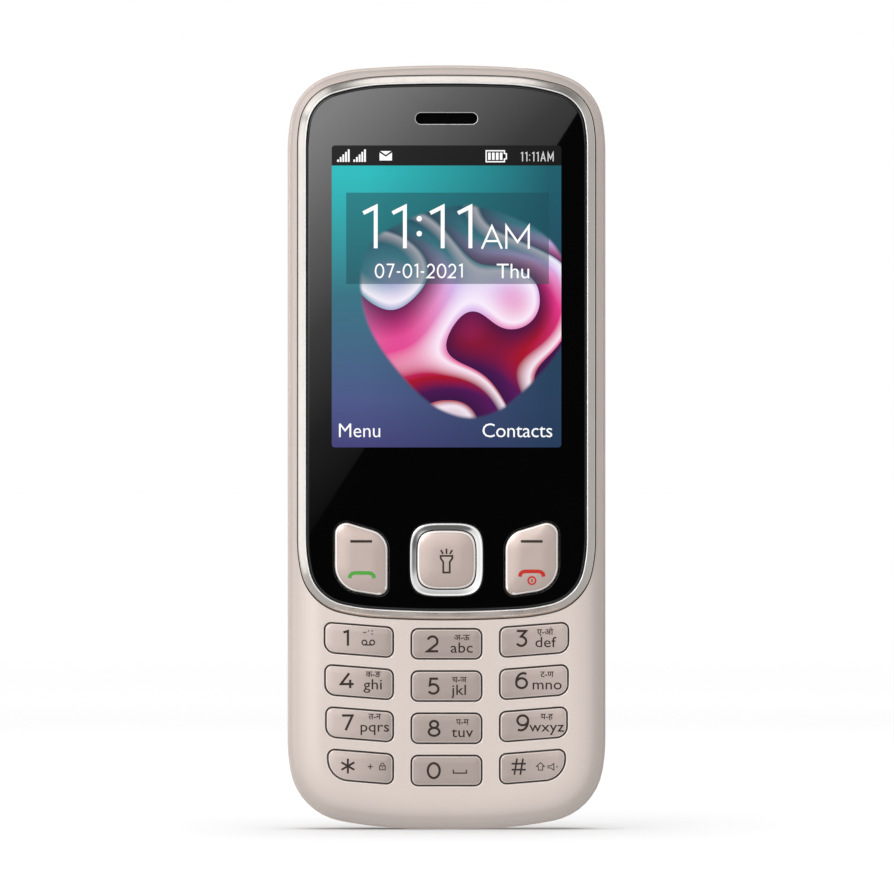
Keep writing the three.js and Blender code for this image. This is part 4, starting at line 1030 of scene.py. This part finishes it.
def display():
    bm = bmesh.new()
    s = SCREEN
    corners = rectangle((s["left"] + s["right"]) / 2, (s["top"] + s["bottom"]) / 2, s["right"] - s["left"],
                        s["top"] - s["bottom"], s["corner"])
    surface = LENS_FRONT - 0.012
    lofted(bm, lambda grow: rounded(grown(corners, grow)), [(0, -5.0), (0, surface + 0.01), (-0.01, surface)])
    placed(finished(bm, "display_picture"), "root", "display", wallpaper("display_wallpaper"), "display_panel")

    white = glow("display_white", 1.0)
    made = Print(*DISPLAY_PRINT)
    for group in (5.6, 22.6):  # two strength meters of five bars
        for bar in range(5):
            x0, z0 = at_dot(group + bar * 2.8, 17.5)
            x1, z1 = at_dot(group + bar * 2.8 + 1.9, 15 - bar * 2.7)
            made.area([(x0, z0), (x0, z1), (x1, z1), (x1, z0)])
    x0, z0 = at_dot(50, 16)
    x1, z1 = at_dot(63, 6)
    mid = (x0 + x1) / 2
    made.area([(x0, z0), (x0, z1 - 0.25), (mid, z0 + 0.62), (x1, z1 - 0.25), (x1, z0)])
    made.area([(x0 + 0.12, z1), (x1 - 0.12, z1), (mid, z0 + 0.9)])
    x0, z0 = at_dot(161.5, 17.3)
    x1, z1 = at_dot(180.5, 5.7)
    made.line([(x0, z0), (x0, z1), (x1, z1), (x1, (z0 + z1) / 2 + 0.45), (x1 + 0.32, (z0 + z1) / 2 + 0.4),
               (x1 + 0.32, (z0 + z1) / 2 - 0.4), (x1, (z0 + z1) / 2 - 0.45), (x1, z0)], 0.2, closed=True)
    for cell in range(4):
        left = x0 + 0.3 + cell * 0.63
        made.area([(left, z0 + 0.3), (left, z1 - 0.3), (left + 0.42, z1 - 0.3), (left + 0.42, z0 + 0.3)])
    made.lay("display_status_signs", surface, "root", "display", white)

    made = Print(*DISPLAY_PRINT)
    figures(made, "11:11AM", *at_dot(231.5, 17.5), 1.6, 0.17, 0.62, 0.3, "RIGHT")
    made.lay("display_small_clock", surface, "root", "display", glow("display_pale", 0.62))

    made = Print(*DISPLAY_PRINT)
    for column in (46, 76.5, 116, 145):
        x, z = at_dot(column, 109)
        made.line([(x - 2.0, z + 5.65), (x, z + 6.65), (x, z)], 0.62)
    for lift in (2.35, 4.75):
        x, z = at_dot(91.5, 109)
        made.area(circle(x, z + lift, 0.44, 20))
    figures(made, "AM", *at_dot(181.5, 110.6), 3.95, 0.33, 1.08, 0.2)
    figures(made, "07-01-2021", *at_dot(91, 140.8), 2.35, 0.25, 0.76, 0.24)
    made.text("Thu", *at_dot(190, 140.8), 2.35, -0.014)
    made.text("Menu", *at_dot(6, 309.2), 2.2, -0.010, "LEFT", 1.0, 0.97)
    made.text("Contacts", *at_dot(231.5, 309.2), 2.2, -0.010, "RIGHT", 0.97)
    made.lay("display_words", surface, "root", "display", white)


# --- The pieces that keep their CAD shape ---
CAD_LOOKS = {
    # the earpiece mesh, near-lightless black: part its own colour, part painted shade
    "pit": ("earpiece_mesh",),
    "black": ("rear_chassis", "nav_ring_base", "earpiece_speaker", "headphone_jack", "camera_module", "loudspeaker",
              "antenna_carrier"),
    "steel": ("display_frame", "speaker_mesh", "shield_can_radio", "shield_can_power",
              "sim_holder_left", "sim_holder_right", "memory_card_holder", "micro_usb_socket", "vibration_motor",
              "motor_weight", "microphone", "dome_sheet", "screw_upper_left", "screw_upper_right",
              "screw_lower_left", "screw_lower_right"),
    "gold": ("display_flex", "battery_contacts"),
    "board": ("main_board",),
    "silicone": ("keypad_mat",),
    "wrap": ("battery",),
    "clear": ("torch_lens", "torch_led"),
    "dark_glass": ("camera_window",),
}


def dress_cad_nodes():
    for look, names in CAD_LOOKS.items():
        for name in names:
            node = frame["nodes"][name]
            node.data.materials.clear()
            node.data.materials.append(LOOKS[look])


# --- Studio ---
LENS_MM = 500.0
SENSOR_MM = 36.0
FIELD_MM = 144.1  # what the camera takes in at the phone
AIM = (0.08, 61.51)


def camera():
    data = bpy.data.cameras.new("camera")
    data.lens, data.sensor_width = LENS_MM, SENSOR_MM
    data.clip_start, data.clip_end = 0.05, 60
    away = FIELD_MM / SENSOR_MM * LENS_MM * MM
    holder = bpy.data.objects.new("camera", data)
    holder.location = (AIM[0] * MM, -away, AIM[1] * MM)
    holder.rotation_euler = (math.pi / 2, 0, 0)
    scene.collection.objects.link(holder)
    scene.camera = holder
    return away


def world():
    """White to the eye; as light, a room that is bright in front, on the left and above, with a dark spot straight
    ahead of the black window."""
    made = bpy.data.worlds.new("studio")
    scene.world = made
    made.use_nodes = True
    nodes = Nodes(made.node_tree)
    nodes.tree.nodes.clear()
    x, y, z = nodes.axes(nodes.node("ShaderNodeTexCoord").outputs["Generated"])

    def lobe(value, low, high, level=1.0):
        return nodes.spread(value, low, high, 0.0, level, "SMOOTHSTEP")

    front, left, upper_left = y * -1.0, x * -1.0, (z - x) * 0.707
    toward = front * 0.77 + (x * -0.50 + z * 0.40)
    level = 0.50 + (x * -0.03 + z * 0.05)
    for part in (lobe(front, 0.30, 0.90, 0.42), lobe(toward, 0.45, 0.98, 0.30), lobe(left, 0.95, 0.988, 0.50),
                 lobe(upper_left, 0.88, 0.97, 0.54), lobe(z, 0.40, 0.90, -0.30), lobe(z, 0.965, 0.992, 0.80),
                 lobe(y, 0.2, 0.9, 0.25)):
        level = level + part
    # a black card low on the right, which the chrome and the metal paint take as contrast
    band = lobe(front, 0.30, 0.44) * (1.0 - lobe(front, 0.60, 0.72))
    away = x * 0.5 - z * 0.866
    level = level * (1.0 - band * lobe(away, 0.28, 0.50, 0.78))
    dim, plain = nodes.node("ShaderNodeBackground"), nodes.node("ShaderNodeBackground")
    nodes.link(level * (1.0 - lobe(front, 0.990, 0.9985)), dim.inputs["Strength"])
    plain.inputs["Strength"].default_value = 1.0
    dim.inputs["Color"].default_value = plain.inputs["Color"].default_value = (1, 1, 1, 1)
    blend = nodes.node("ShaderNodeMixShader")
    nodes.link(nodes.node("ShaderNodeLightPath").outputs["Is Camera Ray"], blend.inputs["Fac"])
    nodes.link(dim.outputs["Background"], blend.inputs[1])
    nodes.link(plain.outputs["Background"], blend.inputs[2])
    nodes.link(blend.outputs["Shader"], nodes.node("ShaderNodeOutputWorld").inputs["Surface"])


def floor_material():
    """Matt white, lit more from within the farther it is from the phone, so that it runs out into the background."""
    look = Look("floor_white", Roughness=0.9, Emission_Strength=1.0, Specular_IOR_Level=0.1)
    look.colour(look.ramp(look.noise(3), (0.3, 0.545), (0.7, 0.55)))
    away = look.node("ShaderNodeVectorMath", operation="LENGTH")
    look.link(look.place, away.inputs[0])
    shine = look.ramp(Wire(look.tree, away.outputs["Value"]) * 0.5, (0.05, 0.03), (0.125, 0.17), (0.25, 0.38),
                     (0.5, 0.58), (1.0, 0.66))
    look.link(shine, look.shader.inputs["Emission Color"])
    return look.material


def floor():
    bm = bmesh.new()
    bmesh.ops.create_circle(bm, cap_ends=True, segments=96, radius=14)
    piece = finished(bm, "floor")
    piece.location.z = -0.00002
    piece.data.materials.append(floor_material())
    piece.visible_glossy = piece.visible_diffuse = False
    lamp("floor_light", (0, 0, 0.55), (0, 0, 0), 0.8, 5.6)
    only = bpy.data.collections.new("floor_only")
    only.objects.link(piece)
    bpy.data.objects["floor_light"].light_linking.receiver_collection = only


def reflection_card(camera_distance):
    """A tall card beside the lens axis, seen only as the pale sheen with a slanting edge across the black window."""
    away = 1.0
    spread = 1 + away / camera_distance
    edge = [(21.2, 115.5), (-19.9, 50.7)]
    run = (edge[1][0] - edge[0][0], edge[1][1] - edge[0][1])
    start = (edge[0][0] - run[0] * 0.15, edge[0][1] - run[1] * 0.15)
    end = (edge[1][0] + run[0] * 0.6, edge[1][1] + run[1] * 0.6)
    outer = [start, end, (end[0] - 9, end[1]), (end[0] - 9, start[1] + 8), (start[0], start[1] + 8)]
    bm = bmesh.new()
    loop = [bm.verts.new(((AIM[0] + (x - AIM[0]) * spread) * MM, -away, (AIM[1] + (z - AIM[1]) * spread) * MM))
            for x, z in outer]
    bm.faces.new(loop)
    piece = finished(bm, "reflection_card")
    look = Look("card_light")
    x, _, z = look.axes(look.place)
    fade = 1.702 + (x * 9.45 + z * -10.09)
    emission = look.node("ShaderNodeEmission")
    look.link(look.ramp(fade, (0.0, 5.3), (0.25, 2.85), (0.5, 1.10), (0.75, 0.33), (1.0, 0.02)),
              emission.inputs["Color"])
    look.link(emission.outputs["Emission"], look.tree.nodes["Material Output"].inputs["Surface"])
    piece.data.materials.append(look.material)
    piece.visible_camera = piece.visible_shadow = piece.visible_diffuse = False


def lamp(name, location, target, size, power):
    data = bpy.data.lights.new(name, "AREA")
    data.shape, data.size, data.energy = "DISK", size, power
    holder = bpy.data.objects.new(name, data)
    holder.location = location
    holder.rotation_euler = (Vector(target) - Vector(location)).to_track_quat("-Z", "Y").to_euler()
    scene.collection.objects.link(holder)


# --- Everything together ---
scene.view_settings.view_transform = "Standard"
reflection_card(camera())
world()
floor()
lamp("key_light", (-0.36, -1.14, 0.40), (0, 0, 0.06), 0.45, 2.5)

front_housing()
bezel_ring()
lens()
rear_cover()
for key_name, key_corners in KEYS.items():
    keypad_key(key_name, key_corners)
    key_legend(key_name)
left_key = function_key("left_function_key", LEFT_FUNCTION_KEY)
right_key = function_key("right_function_key", RIGHT_FUNCTION_KEY)
four_way_ring()
function_legends(left_key, right_key, centre_key())
display()
dress_cad_nodes()
